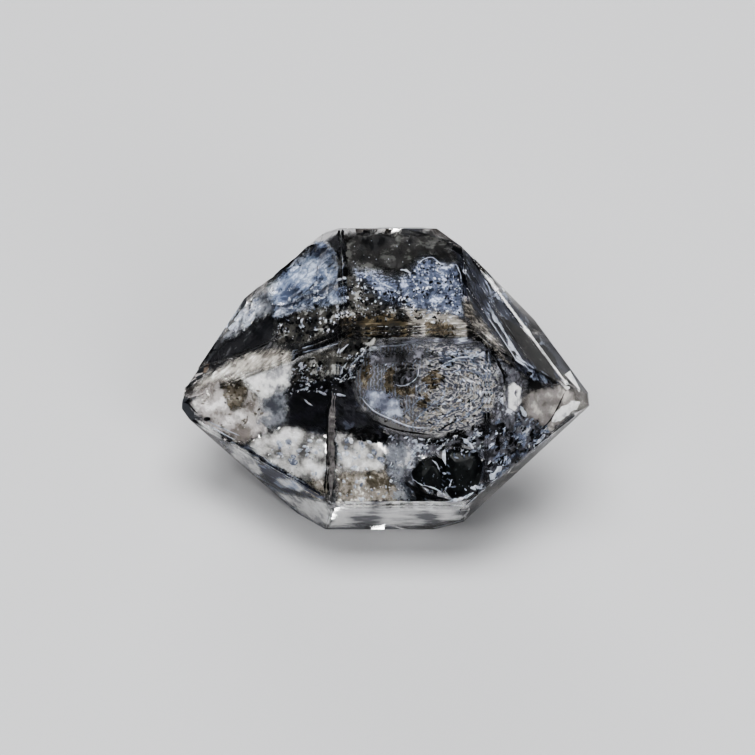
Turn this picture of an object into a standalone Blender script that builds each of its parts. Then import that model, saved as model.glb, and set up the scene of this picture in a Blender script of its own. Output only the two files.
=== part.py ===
# Petroleum quartz: one doubly terminated quartz crystal, lying on a prism face,
# with an oil-filled window, a smoky film, a dark hollow and a healed cloud in it.
# Metres, +Z up. The long axis runs along X, the front looks along -Y.
# The origin is on the ground, under the middle of the crystal.

from math import cos, radians, sin, tau

import bmesh
import bpy
from mathutils import Matrix, Vector, noise

MM = 0.001

# Prism faces: the six lie 60 degrees apart around the long axis.
# An azimuth is counted from the front (-Y) upwards over the top.
FIRST_PRISM_AZIMUTH = 30.0
AZIMUTH_STEP = 60.0
PRISM_NAMES = ("front", "top", "back_high", "back_low", "bottom", "front_low")
# Distances of the prism faces from the long axis, in mm
PRISM_DISTANCES = (6.38, 6.74, 8.56, 7.20, 6.33, 8.70)

# Pyramid faces: quartz's own lean from the prism, in degrees
PYRAMID_LEAN = 38.2
# For each face over its prism face: distance in mm, and how far the real
# face turns and leans away from the ideal one, in degrees
RIGHT_PYRAMID = (
    (8.60, -0.5, -6.8),
    (8.51, 5.8, 3.6),
    (8.34, -3.1, 5.3),
    (5.04, -3.4, -2.6),
    (7.09, 2.6, -2.1),
    (9.67, -1.9, 3.1),
)
LEFT_PYRAMID = (
    (6.90, 3.8, -3.9),
    (6.76, -1.2, 0.7),
    (9.04, -1.8, -3.3),
    (7.63, -0.9, -0.6),
    (8.23, 1.1, -2.2),
    (8.86, 4.5, -0.8),
)

# Narrow extra faces: azimuth, lean towards +X, distance in mm
SMALL_FACES = {
    "top_rim": (120.0, 0.0, 8.72),
    "left_tip_high": (80.0, -76.0, 11.78),
    "left_tip_low": (200.0, -80.0, 11.72),
    "right_tip": (60.0, 78.0, 12.20),
    "left_front_corner": (354.0, -19.0, 9.13),
}

# Growth ledges: face, how deep in mm, and the corners of the lower level on
# that face, in mm along the axis and across it
LEDGES = (
    ("right_top", 0.14, ((-2.2, 4.4), (8.0, -3.9), (8.0, -9.0), (-5.0, -9.0), (-5.0, 4.4))),
    ("right_top", 0.19, ((-2.7, 3.9), (6.4, -5.7), (6.4, -9.0), (-6.0, -9.0), (-6.0, 3.9))),
    ("right_top", 0.24, ((-3.5, 2.6), (5.5, -6.6), (5.5, -9.5), (-7.0, -9.5), (-7.0, 2.6))),
    ("left_top", 0.07, ((-9.3, 1.3), (-5.9, 0.2), (-2.2, -0.5), (-1.0, -4.0), (-10.5, -2.5))),
    ("right_back_low", 0.12, ((-3.5, -6.5), (2.4, -6.5), (0.2, 2.0), (-3.5, 3.4))),
    ("right_back_low", 0.10, ((-3.5, -6.5), (0.9, -6.5), (-0.9, 0.6), (-3.5, 1.5))),
    ("left_back_low", 0.14, ((-1.0, -5.5), (5.5, -5.5), (5.5, 3.0), (1.2, 1.8))),
    ("back_high", 0.11, ((-5.0, -5.0), (-0.6, -5.0), (0.3, 5.0), (-5.0, 5.0))),
    ("back_low", 0.09, ((-1.9, -6.0), (0.4, -6.0), (0.4, 6.0), (-1.9, 6.0))),
    ("left_bottom", 0.10, ((-6.0, -1.4), (-2.4, -2.9), (-1.6, -7.0), (-7.0, -7.0))),
    ("right_bottom", 0.08, ((-1.0, 0.8), (3.2, 0.2), (3.4, 4.5), (-1.6, 4.5))),
)
LEDGE_WALL_SPREAD = 0.5
LEDGE_CLEARANCE = 1.2

# Broken spots: face, place along and across it, reach along and across it,
# depth and roughness, all in mm
BREAKS = (
    ("left_top", (-1.25, 4.15), (2.30, 2.35), 0.30, 0.16),
    ("left_top", (0.75, 2.75), (1.60, 1.25), 0.17, 0.10),
    ("right_front", (2.30, -5.45), (0.85, 0.50), 0.22, 0.12),
    ("right_front", (4.30, -3.95), (0.60, 0.34), 0.14, 0.08),
    ("front_low", (4.70, 0.90), (0.55, 0.60), 0.15, 0.08),
    ("left_front", (-9.20, -0.95), (0.55, 0.42), 0.12, 0.07),
    ("left_front_low", (-6.10, 1.75), (0.80, 0.34), 0.13, 0.07),
    ("back_high", (3.10, -2.40), (0.75, 1.00), 0.18, 0.10),
    ("left_back_high", (-1.90, 0.40), (0.90, 0.70), 0.16, 0.10),
    ("right_back_low", (5.60, 2.15), (0.75, 0.55), 0.15, 0.08),
    ("left_back_low", (-2.60, -1.60), (0.70, 0.60), 0.14, 0.08),
    ("back_low", (-2.40, -4.10), (0.80, 0.85), 0.20, 0.11),
)
BREAK_HEIGHT = 1.0
BREAK_ROUNDS = 4
# Lumps of a broken spot: how many to the mm, then how much finer and fainter
# the second set of lumps is
BREAK_GRAIN = 1.6
FINE_GRAIN_RATIO = 2.3
FINE_LIFT_SHARE = 0.5

# The crystal is parted in two over what is sealed in it. The front piece is a
# shell of these thicknesses under three faces, in mm, and the gap is left free.
PARTING_DEPTHS = {"front": 1.3, "left_front": 1.0, "top": 0.9}
GAP = 0.3

# What is sealed in: colour and roughness, the face it lies under, half of its
# thickness, the number of its growth rings and their height, and its outline
# along the axis and across it, all in mm
INCLUSIONS = {
    "oil_window": (
        (0.30, 0.25, 0.19),
        0.35,
        "front",
        0.25,
        5.0,
        0.04,
        (
            (-1.70, 1.30), (-0.50, 2.70), (2.70, 3.05), (5.80, 2.75), (6.80, 1.00),
            (6.30, -0.90), (4.80, -1.95), (2.60, -2.15), (0.40, -1.70), (-1.30, -0.50),
        ),
    ),
    "dark_hollow": (
        (0.02, 0.02, 0.018),
        0.25,
        "front",
        0.50,
        1.0,
        0.05,
        (
            (3.70, -3.75), (4.60, -3.25), (5.45, -3.55), (5.75, -4.30), (5.35, -5.10),
            (4.75, -5.75), (4.00, -5.90), (3.60, -5.50), (2.75, -5.65), (1.85, -5.15),
            (1.65, -4.45), (2.60, -3.80),
        ),
    ),
    "smoky_film": (
        (0.09, 0.09, 0.10),
        0.35,
        "left_front",
        0.16,
        2.0,
        0.03,
        (
            (-0.35, 1.70), (-1.30, 1.75), (-2.30, 1.10), (-2.85, -0.40), (-2.60, -1.70),
            (-1.60, -2.15), (-0.35, -2.15), (-0.20, -0.20),
        ),
    ),
    "healed_cloud": (
        (0.72, 0.77, 0.85),
        0.60,
        "top",
        0.15,
        3.0,
        0.04,
        (
            (-1.70, 0.90), (-0.60, 1.80), (1.20, 1.60), (2.10, 3.00), (3.10, 3.45),
            (4.40, 2.80), (4.70, 0.90), (4.80, -1.00), (3.60, -1.80), (1.30, -1.50),
            (0.30, -0.30), (-1.30, -0.10),
        ),
    ),
}
OUTLINE_STEPS = 4
INCLUSION_LEVELS = 9
# How full an inclusion stays towards its rim, and how lumpy it is
RIM_FULLNESS = 4
LUMP_SHARE = 0.25

ROUGH_BLOCK = 40.0
CUT_TOLERANCE = 1e-8


def face_normal(azimuth, lean):
    """Outward direction of a face from its azimuth and its lean to +X."""
    turn = radians(azimuth)
    tilt = radians(lean)
    return Vector((sin(tilt), -cos(tilt) * cos(turn), cos(tilt) * sin(turn)))


def crystal_faces():
    """Every flat face by name: outward direction and distance in mm."""
    faces = {}
    for index, name in enumerate(PRISM_NAMES):
        azimuth = FIRST_PRISM_AZIMUTH + AZIMUTH_STEP * index
        faces[name] = (face_normal(azimuth, 0.0), PRISM_DISTANCES[index])
        for side, sign, table in (("right", 1.0, RIGHT_PYRAMID), ("left", -1.0, LEFT_PYRAMID)):
            distance, turned, leaned = table[index]
            normal = face_normal(azimuth + turned, sign * (PYRAMID_LEAN + leaned))
            faces[side + "_" + name] = (normal, distance)
    for name, (azimuth, lean, distance) in SMALL_FACES.items():
        faces[name] = (face_normal(azimuth, lean), distance)
    return faces


def parting_planes(faces, offset):
    """The planes that part the crystal, moved outward by an offset in mm."""
    return {
        name: (faces[name][0], faces[name][1] - depth + offset)
        for name, depth in PARTING_DEPTHS.items()
    }


def crystal_block(faces):
    """Cut a block down to flat faces, one after another."""
    shape = bmesh.new()
    bmesh.ops.create_cube(shape, size=ROUGH_BLOCK * MM)
    for normal, distance in faces.values():
        everything = shape.verts[:] + shape.edges[:] + shape.faces[:]
        cut = bmesh.ops.bisect_plane(
            shape,
            geom=everything,
            dist=CUT_TOLERANCE,
            plane_co=normal * distance * MM,
            plane_no=normal,
            clear_outer=True,
        )
        rim = [item for item in cut["geom_cut"] if isinstance(item, bmesh.types.BMEdge)]
        if rim:
            bmesh.ops.edgeloop_fill(shape, edges=rim)
    bmesh.ops.recalc_face_normals(shape, faces=shape.faces[:])
    return shape


def face_frame(normal, distance):
    """Matrix that puts X along the axis, Y across and Z out of a face."""
    along = (Vector((1.0, 0.0, 0.0)) - normal * normal.x).normalized()
    across = normal.cross(along)
    frame = Matrix((along, across, normal)).transposed().to_4x4()
    frame.translation = normal * distance * MM
    return frame


def new_object(name, shape):
    """Turn a bmesh into an object in the scene."""
    mesh = bpy.data.meshes.new(name)
    shape.to_mesh(mesh)
    shape.free()
    made = bpy.data.objects.new(name, mesh)
    bpy.context.collection.objects.link(made)
    return made


def ledge_cutter(name, frame, depth, corners):
    """Block whose underside is the lower level of a growth ledge."""
    shape = bmesh.new()
    middle = sum((Vector(corner) for corner in corners), Vector((0.0, 0.0))) / len(corners)
    rings = []
    for height, spread in ((-depth, 0.0), (LEDGE_CLEARANCE, LEDGE_WALL_SPREAD)):
        ring = []
        for corner in corners:
            away = Vector(corner) - middle
            spot = middle + away + away.normalized() * spread
            ring.append(shape.verts.new(Vector((spot.x, spot.y, height)) * MM))
        rings.append(ring)
    low, high = rings
    count = len(corners)
    shape.faces.new(low)
    shape.faces.new(high)
    for index in range(count):
        after = (index + 1) % count
        shape.faces.new((low[index], low[after], high[after], high[index]))
    bmesh.ops.recalc_face_normals(shape, faces=shape.faces[:])
    shape.transform(frame)
    return new_object(name, shape)


def break_cutter(name, frame, place, reach, depth, roughness):
    """Lumpy flattened ball that takes a shell-like chip out of a face."""
    along, across = place
    shape = bmesh.new()
    bmesh.ops.create_icosphere(shape, subdivisions=BREAK_ROUNDS, radius=1.0)
    # Widened so that the ball meets the face at its full reach
    widen = 1.0 / (1.0 - ((BREAK_HEIGHT - depth) / BREAK_HEIGHT) ** 2) ** 0.5
    stretch = Vector((reach[0] * widen, reach[1] * widen, BREAK_HEIGHT))
    fine_grain = BREAK_GRAIN * FINE_GRAIN_RATIO
    for vert in shape.verts:
        spot = vert.co * stretch
        lift = noise.noise((spot + Vector((along, across, depth))) * BREAK_GRAIN)
        lift += FINE_LIFT_SHARE * noise.noise((spot - Vector((across, along, depth))) * fine_grain)
        spot.z += lift * roughness
        vert.co = (spot + Vector((along, across, BREAK_HEIGHT - depth))) * MM
    shape.transform(frame)
    return new_object(name, shape)


def smooth_outline(corners):
    """Closed round curve through an outline's corners."""
    points = []
    count = len(corners)
    for index in range(count):
        before, start, end, after = (Vector(corners[(index + shift) % count]) for shift in (-1, 0, 1, 2))
        for step in range(OUTLINE_STEPS):
            t = step / OUTLINE_STEPS
            bend = (2 * before - 5 * start + 4 * end - after) * t * t
            bend += (3 * start - before - 3 * end + after) * t ** 3
            points.append(0.5 * (2 * start + (end - before) * t + bend))
    return points


def inclusion(name, frame, half, rings, ripple, outline):
    """Flat lumpy lens with growth rings, thinning out to its outline."""
    shape = bmesh.new()
    middle = sum(outline, Vector((0.0, 0.0))) / len(outline)
    rim = [shape.verts.new(Vector((spot.x, spot.y, 0.0)) * MM) for spot in outline]
    for side in (1.0, -1.0):
        outer = rim
        for level in range(INCLUSION_LEVELS - 1, 0, -1):
            share = level / INCLUSION_LEVELS
            rise = half * (1.0 - share ** RIM_FULLNESS) ** 0.5 + ripple * cos(rings * tau * share)
            ring = []
            for corner in outline:
                spot = middle + (corner - middle) * share
                lump = 1.0 + LUMP_SHARE * noise.noise(Vector((spot.x, spot.y, side)))
                ring.append(shape.verts.new(Vector((spot.x, spot.y, side * rise * lump)) * MM))
            bridge(shape, outer, ring)
            outer = ring
        peak = shape.verts.new(Vector((middle.x, middle.y, side * (half + ripple))) * MM)
        for index, vert in enumerate(outer):
            shape.faces.new((vert, outer[index - 1], peak))
    bmesh.ops.recalc_face_normals(shape, faces=shape.faces[:])
    shape.transform(frame)
    return new_object(name, shape)


def bridge(shape, first, second):
    """Close the band between two rings of equal length."""
    for index in range(len(first)):
        shape.faces.new((first[index - 1], first[index], second[index], second[index - 1]))


def pocket_cutter(name, frame, reach, outline):
    """Straight-walled pocket that clears an inclusion by the gap all round."""
    shape = bmesh.new()
    middle = sum(outline, Vector((0.0, 0.0))) / len(outline)
    rings = []
    for height in (-reach, reach):
        grown = [spot + (spot - middle).normalized() * GAP for spot in outline]
        rings.append([shape.verts.new(Vector((spot.x, spot.y, height)) * MM) for spot in grown])
    bridge(shape, *rings)
    for ring in rings:
        shape.faces.new(ring)
    bmesh.ops.recalc_face_normals(shape, faces=shape.faces[:])
    shape.transform(frame)
    return new_object(name, shape)


def carve(pieces, cutter):
    """Take a cutter's shape out of each of the quartz pieces."""
    cutter.hide_render = True
    cutter.display_type = "WIRE"
    for piece in pieces:
        cut = piece.modifiers.new(cutter.name, "BOOLEAN")
        cut.operation = "DIFFERENCE"
        cut.solver = "EXACT"
        cut.object = cutter


def quartz_material():
    """Clear, faintly smoky quartz with a trace of oil in its colour."""
    material = bpy.data.materials.new("petroleum_quartz")
    material.use_nodes = True
    surface = material.node_tree.nodes["Principled BSDF"]
    surface.inputs["Base Color"].default_value = (0.78, 0.77, 0.76, 1.0)
    surface.inputs["Roughness"].default_value = 0.05
    surface.inputs["Metallic"].default_value = 0.0
    surface.inputs["IOR"].default_value = 1.544
    surface.inputs["Transmission Weight"].default_value = 1.0
    return material


def inclusion_material(name, colour, roughness):
    """Plain coloured surface of something sealed in the quartz."""
    material = bpy.data.materials.new(name)
    material.use_nodes = True
    surface = material.node_tree.nodes["Principled BSDF"]
    surface.inputs["Base Color"].default_value = (*colour, 1.0)
    surface.inputs["Roughness"].default_value = roughness
    surface.inputs["Metallic"].default_value = 0.0
    return material


def main():
    for old in list(bpy.data.objects):
        bpy.data.objects.remove(old, do_unlink=True)

    faces = crystal_faces()
    frames = {name: face_frame(normal, distance) for name, (normal, distance) in faces.items()}
    block = crystal_block(faces)

    # Set the crystal on the ground, centred over the origin
    low = Vector([min(vert.co[axis] for vert in block.verts) for axis in range(3)])
    high = Vector([max(vert.co[axis] for vert in block.verts) for axis in range(3)])
    settle = Matrix.Translation(Vector((-(low.x + high.x) / 2, -(low.y + high.y) / 2, -low.z)))
    block.transform(settle)

    # The larger piece lies behind the parting planes, the shell in front of them
    behind = crystal_block({**faces, **parting_planes(faces, -GAP / 2)})
    behind.transform(settle)
    crystal = new_object("quartz_crystal", behind)
    front = new_object("quartz_front", block)
    inner = crystal_block(parting_planes(faces, GAP / 2))
    inner.transform(settle)
    carve((front,), new_object("parting_cutter", inner))
    pieces = (crystal, front)
    quartz = quartz_material()
    for piece in pieces:
        piece.data.materials.append(quartz)

    for index, (name, depth, corners) in enumerate(LEDGES):
        carve(pieces, ledge_cutter(f"ledge_cutter_{index}", settle @ frames[name], depth, corners))
    for index, (name, place, reach, depth, roughness) in enumerate(BREAKS):
        frame = settle @ frames[name]
        carve(pieces, break_cutter(f"break_cutter_{index}", frame, place, reach, depth, roughness))

    planes = parting_planes(faces, 0.0)
    for name, (colour, roughness, face, half, rings, ripple, corners) in INCLUSIONS.items():
        frame = settle @ face_frame(*planes[face])
        outline = smooth_outline(corners)
        sealed = inclusion(name, frame, half, rings, ripple, outline)
        sealed.data.materials.append(inclusion_material(name, colour, roughness))
        reach = (half + ripple) * (1.0 + LUMP_SHARE) + GAP
        carve(pieces, pocket_cutter(f"{name}_pocket", frame, reach, outline))


main()
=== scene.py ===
import random
from math import atan2, cos, hypot, pi, radians, sin, sqrt

import bmesh
import bpy
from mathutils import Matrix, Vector, noise
from mathutils.bvhtree import BVHTree


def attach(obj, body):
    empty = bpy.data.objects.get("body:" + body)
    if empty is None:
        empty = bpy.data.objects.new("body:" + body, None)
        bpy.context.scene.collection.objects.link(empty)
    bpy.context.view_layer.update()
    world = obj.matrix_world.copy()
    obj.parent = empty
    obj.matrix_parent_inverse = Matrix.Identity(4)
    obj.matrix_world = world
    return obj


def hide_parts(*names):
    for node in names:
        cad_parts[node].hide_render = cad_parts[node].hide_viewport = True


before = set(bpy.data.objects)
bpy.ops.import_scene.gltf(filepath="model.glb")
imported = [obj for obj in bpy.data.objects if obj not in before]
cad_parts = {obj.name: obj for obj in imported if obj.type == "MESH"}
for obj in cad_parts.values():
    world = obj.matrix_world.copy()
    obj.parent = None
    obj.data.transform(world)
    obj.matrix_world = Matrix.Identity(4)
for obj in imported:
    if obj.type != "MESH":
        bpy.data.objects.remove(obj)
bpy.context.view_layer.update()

mm = 0.001
scene = bpy.context.scene
rng = random.Random(11)

# Camera: straight in front, looking down on the crystal through a long lens
cameraSettings = {
    "elevation": 41.26,          # degrees above the ground
    "lens": 400.0,
    "sensor": 36.0,
    "clip": (0.01, 10),          # m
    "framePixels": 755,
    "pixelSize": 0.0594,         # mm in the picture, at the crystal
    "axisPoint": (-0.0715, -0.1963, 6.33),   # mm, the middle of the long axis
    "axisPixel": (384.0, 378.0),
}


def makeCamera(s):
    tilt = radians(s["elevation"])
    right, up = Vector((1, 0, 0)), Vector((0, sin(tilt), cos(tilt)))
    toward = Vector((0, -cos(tilt), sin(tilt)))
    middle = s["framePixels"] / 2
    target = Vector(s["axisPoint"])
    target += right * (middle - s["axisPixel"][0]) * s["pixelSize"]
    target += up * (s["axisPixel"][1] - middle) * s["pixelSize"]
    eye = target + toward * s["framePixels"] * s["pixelSize"] * s["lens"] / s["sensor"]
    data = bpy.data.cameras.new("camera")
    data.lens, data.sensor_width = s["lens"], s["sensor"]
    data.clip_start, data.clip_end = s["clip"]
    cam = bpy.data.objects.new("camera", data)
    scene.collection.objects.link(cam)
    cam.location = eye * mm
    cam.rotation_euler = (radians(90) - tilt, 0, 0)
    scene.camera = cam
    return {"eye": eye, "target": target, "right": right, "up": up}


view = makeCamera(cameraSettings)
print("camera placed")


def newMaterial(name, values):
    m = bpy.data.materials.new(name)
    m.use_nodes = True
    shader = m.node_tree.nodes["Principled BSDF"]
    for key, value in values.items():
        shader.inputs[key].default_value = value
    return m, shader


def addNode(tree, kind, values=None, **settings):
    node = tree.nodes.new("ShaderNode" + kind)
    for key, value in settings.items():
        setattr(node, key, value)
    for key, value in (values or {}).items():
        node.inputs[key].default_value = value
    return node


# The quartz itself, one clear piece: the outer faces of the two solids, closed
# over the gap that parts them, with the edges a little rounded
quartz = {
    "ior": 1.544,
    "absorbColor": (0.80, 0.78, 0.76, 1),
    "absorbDensity": 40.0,
    "edgeRound": 0.04,           # mm
    "edgeAngle": 12,
    # the three planes that part the crystal: azimuth, lean, mm from the long axis
    "partedPlanes": ((30.0, 0.0, 5.08), (33.8, -34.3, 5.90), (90.0, 0.0, 5.84)),
    "gap": 0.3,
    "wallReach": 0.01,           # mm, how near a corner has to be to lie on a wall of the gap
    "weld": 1e-7,                # m
    "flatAngle": 0.5,            # faces that turn by less become one
    # broken spots are frosted: their faces are small ones that lean away
    "brokenArea": 0.22,          # mm2
    "faceArea": 2.0,
    "alike": 0.999,              # cosine between faces that count as parallel
    "frostRoughness": 0.14,
    "frostColor": (0.90, 0.94, 1.0, 1),
}


def faceNormal(azimuth, lean):
    turn, tilt = radians(azimuth), radians(lean)
    return Vector((sin(tilt), -cos(tilt) * cos(turn), cos(tilt) * sin(turn)))


# A solid without the walls of the gap and of the pockets for what is sealed in
def outerShell(node, side, s):
    bm = bmesh.new()
    bm.from_mesh(node.data)
    bmesh.ops.remove_doubles(bm, verts=bm.verts, dist=s["weld"])
    middle = Vector(cameraSettings["axisPoint"])
    walls = set()
    for azimuth, lean, far in s["partedPlanes"]:
        normal, reach = faceNormal(azimuth, lean), far - side * s["gap"] / 2
        flat = {v for v in bm.verts
                if abs((v.co / mm - middle).dot(normal) - reach) < s["wallReach"]}
        walls.update(f for f in bm.faces if flat.issuperset(f.verts))
    bmesh.ops.delete(bm, geom=list(walls), context="FACES")
    start = max(bm.verts, key=lambda v: v.co.x * side)
    kept, waiting = {start}, [start]
    while waiting:
        for v in (v for e in waiting.pop().link_edges for v in e.verts):
            if v not in kept:
                kept.add(v)
                waiting.append(v)
    bmesh.ops.delete(bm, geom=[v for v in bm.verts if v not in kept], context="VERTS")
    mesh = bpy.data.meshes.new("shell")
    bm.to_mesh(mesh)
    bm.free()
    return mesh


# The corners of a closed rim, in order
def rimOf(edges):
    beside = {}
    for e in edges:
        a, b = e.verts
        beside.setdefault(a, []).append(b)
        beside.setdefault(b, []).append(a)
    rim, before = [edges[0].verts[0]], None
    while True:
        following = next(v for v in beside[rim[-1]] if v is not before)
        if following is rim[0]:
            return rim
        before = rim[-1]
        rim.append(following)


# Closes the gap between two rims, each time with the shorter of the two next edges
def zipRims(bm, a, b):
    i, j = min(((i, j) for i in range(len(a)) for j in range(len(b))),
               key=lambda pair: (a[pair[0]].co - b[pair[1]].co).length)
    a, b = a[i:] + a[:i], b[j:] + b[:j]
    eighth = len(b) // 8
    ahead = a[len(a) // 8].co
    if (b[eighth].co - ahead).length > (b[-eighth].co - ahead).length:
        b = [b[0]] + b[:0:-1]    # both run the same way round
    i = j = 0
    while i < len(a) or j < len(b):
        p, nextP = a[i % len(a)], a[(i + 1) % len(a)]
        q, nextQ = b[j % len(b)], b[(j + 1) % len(b)]
        shorter = (nextP.co - q.co).length < (nextQ.co - p.co).length
        if j >= len(b) or (i < len(a) and shorter):
            bm.faces.new((p, nextP, q))
            i += 1
        else:
            bm.faces.new((p, nextQ, q))
            j += 1


def joinedSurface(s):
    bm = bmesh.new()
    bm.from_mesh(outerShell(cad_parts["quartz_crystal"], 1, s))
    rearVerts = set(bm.verts)
    bm.from_mesh(outerShell(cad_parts["quartz_front"], -1, s))
    openEdges = [e for e in bm.edges if e.is_boundary]
    rearRim = rimOf([e for e in openEdges if e.verts[0] in rearVerts])
    frontRim = rimOf([e for e in openEdges if e.verts[0] not in rearVerts])
    print("rims:", len(rearRim), len(frontRim), "of", len(openEdges), "open edges")
    zipRims(bm, rearRim, frontRim)
    bmesh.ops.recalc_face_normals(bm, faces=bm.faces[:])
    bmesh.ops.triangulate(bm, faces=bm.faces[:])
    bmesh.ops.dissolve_limit(bm, angle_limit=radians(s["flatAngle"]), verts=bm.verts,
                             edges=bm.edges)
    mesh = bpy.data.meshes.new("quartzSurface")
    bm.to_mesh(mesh)
    bm.free()
    return mesh


def quartzMaterial(name, s, color, roughness):
    m, shader = newMaterial(name, {"Base Color": color, "Roughness": roughness, "IOR": s["ior"],
                                   "Transmission Weight": 1})
    nt = m.node_tree
    v = addNode(nt, "VolumeAbsorption", {"Color": s["absorbColor"], "Density": s["absorbDensity"]})
    nt.links.new(v.outputs[0], nt.nodes["Material Output"].inputs["Volume"])
    return m


# Small faces that are parallel to none of the large ones
def frostBroken(mesh, s):
    flatNormals = [f.normal.copy() for f in mesh.polygons if f.area > s["faceArea"] * mm * mm]
    for face in mesh.polygons:
        small = face.area < s["brokenArea"] * mm * mm
        if small and max(face.normal.dot(n) for n in flatNormals) < s["alike"]:
            face.material_index = 1
    print("quartz surface:", len(mesh.polygons), "faces,",
          sum(f.material_index for f in mesh.polygons), "of them frosted")


crystalMesh = joinedSurface(quartz)
crystal = bpy.data.objects.new("quartzSurface", crystalMesh)
scene.collection.objects.link(crystal)
crystalMesh.materials.append(quartzMaterial("quartzClear", quartz, (1, 1, 1, 1), 0.0))
crystalMesh.materials.append(
    quartzMaterial("quartzFrosted", quartz, quartz["frostColor"], quartz["frostRoughness"]))
frostBroken(crystalMesh, quartz)
edge = crystal.modifiers.new("edges", "BEVEL")
edge.width, edge.segments = quartz["edgeRound"] * mm, 2
edge.limit_method, edge.angle_limit = "ANGLE", radians(quartz["edgeAngle"])
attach(crystal, "root")
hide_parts("quartz_crystal", "quartz_front")
print("quartz surface made")


# What lies inside is placed where the photograph shows it: each picture point
# is followed through the refracting surface onto a sheet inside the crystal.
def surfaceLookup(mesh):
    bm = bmesh.new()
    bm.from_mesh(mesh)
    bmesh.ops.triangulate(bm, faces=bm.faces[:])
    bmesh.ops.scale(bm, vec=Vector((1, 1, 1)) / mm, verts=bm.verts)
    bm.normal_update()
    bm.faces.ensure_lookup_table()
    found = BVHTree.FromBMesh(bm), [f.normal.copy() for f in bm.faces]
    bm.free()
    return found


surfaceTree, surfaceNormals = surfaceLookup(crystalMesh)


def throughSurface(px, py):
    middle = cameraSettings["framePixels"] / 2
    size = cameraSettings["pixelSize"]
    aim = view["target"] + view["right"] * (px - middle) * size + view["up"] * (middle - py) * size
    ray = (aim - view["eye"]).normalized()
    hit, _, index, _ = surfaceTree.ray_cast(view["eye"], ray)
    if hit is None:
        return None
    n = surfaceNormals[index]
    slow = 1 / quartz["ior"]
    facing = -ray.dot(n)
    inner = ray * slow + n * (slow * facing - sqrt(1 - slow * slow * (1 - facing * facing)))
    return hit, inner.normalized(), n


sheetRules = {
    "leastSlope": 0.08,          # sight lines that meet a sheet flatter than this miss it
    "clear": 0.1,                # mm of quartz left before and behind
    "skip": 0.002,               # mm inside the face, where the look for the next wall starts
}


# A sheet is flat or waved, and lies at a depth in mm under the face at a picture point
def makeSheet(s):
    hit, _, n = throughSurface(*s["anchor"])
    return {"point": hit - n * s["depth"], "normal": n, "wave": s.get("wave", 0),
            "waveSize": s.get("waveSize", 1)}


def onSheet(sheet, px, py, lift=0.0):
    got = throughSurface(px, py)
    if got is None:
        return None
    hit, inner, n = got
    slope = inner.dot(sheet["normal"])
    if abs(slope) < sheetRules["leastSlope"]:
        return None
    far = (sheet["point"] - hit).dot(sheet["normal"]) / slope
    if sheet["wave"]:
        far += sheet["wave"] * noise.noise((hit + inner * far) / sheet["waveSize"])
    far -= lift
    if far < sheetRules["clear"]:
        return None
    wall = surfaceTree.ray_cast(hit + inner * sheetRules["skip"], inner)[3]
    if wall is None or wall < far + sheetRules["clear"]:
        return None
    return hit + inner * far


class Pile:                      # many small closed shapes joined in one mesh
    def __init__(self):
        self.verts, self.faces = [], []
        self.tones, self.fades = {}, {}

    def lens(self, ring, over, under, facing, tone):
        turn = (ring[1] - ring[0]).cross(ring[2] - ring[1]).dot(facing)
        if turn < 0:
            ring = ring[::-1]
        start, count = len(self.verts), len(ring)
        self.verts += ring + [over, under]
        self.tones.update((start + i, tone) for i in range(count + 2))
        for i in range(count):
            j = (i + 1) % count
            self.faces.append((start + i, start + j, start + count))
            self.faces.append((start + j, start + i, start + count + 1))

    def piece(self, name, material, slot, *nodes):
        mesh = bpy.data.meshes.new(name)
        mesh.from_pydata([v * mm for v in self.verts], [], self.faces)
        mesh.materials.append(material)
        for key, values, usual in (("tone", self.tones, 0.5), ("fade", self.fades, 1.0)):
            layer = mesh.attributes.new(key, "FLOAT", "POINT")
            for i, item in enumerate(layer.data):
                item.value = values.get(i, usual)
        ob = bpy.data.objects.new(name, mesh)
        scene.collection.objects.link(ob)
        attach(ob, "root")
        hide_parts(*nodes)
        print(name, "made,", len(self.faces), "triangles")


def sides(corners):
    return zip(corners, corners[1:] + corners[:1])


def inPolygon(x, y, corners):
    inside = False
    for (ax, ay), (bx, by) in sides(corners):
        if (ay > y) != (by > y) and x < (bx - ax) * (y - ay) / (by - ay) + ax:
            inside = not inside
    return inside


def edgeDistance(x, y, corners):
    nearest = 1e9
    for (ax, ay), (bx, by) in sides(corners):
        lx, ly = bx - ax, by - ay
        t = max(0, min(1, ((x - ax) * lx + (y - ay) * ly) / (lx * lx + ly * ly)))
        nearest = min(nearest, hypot(x - ax - lx * t, y - ay - ly * t))
    return nearest


# Flakes: sizes in pixels, thickness and tilt in mm. A zone's own values come before these.
flakeUsual = {
    "thick": 0.02, "tilt": 0.05, "stretch": 1.5, "angle": 0, "stray": 3,
    "seed": 0, "lumpSize": 10, "lumpCut": -1,    # where the clusters' noise is lower, none lie
    "lumpBlur": 0.15,
    "corners": (5, 7), "cornerReach": (0.75, 1.2), "turn": 6.28,
    "oversize": 1.5, "sizeBend": 2.5,            # many small ones, few large ones
    "tries": 12,                                 # for each flake that is wanted
    "spread": 3.2,                               # one torn wider than this by an edge is left out
}


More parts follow.
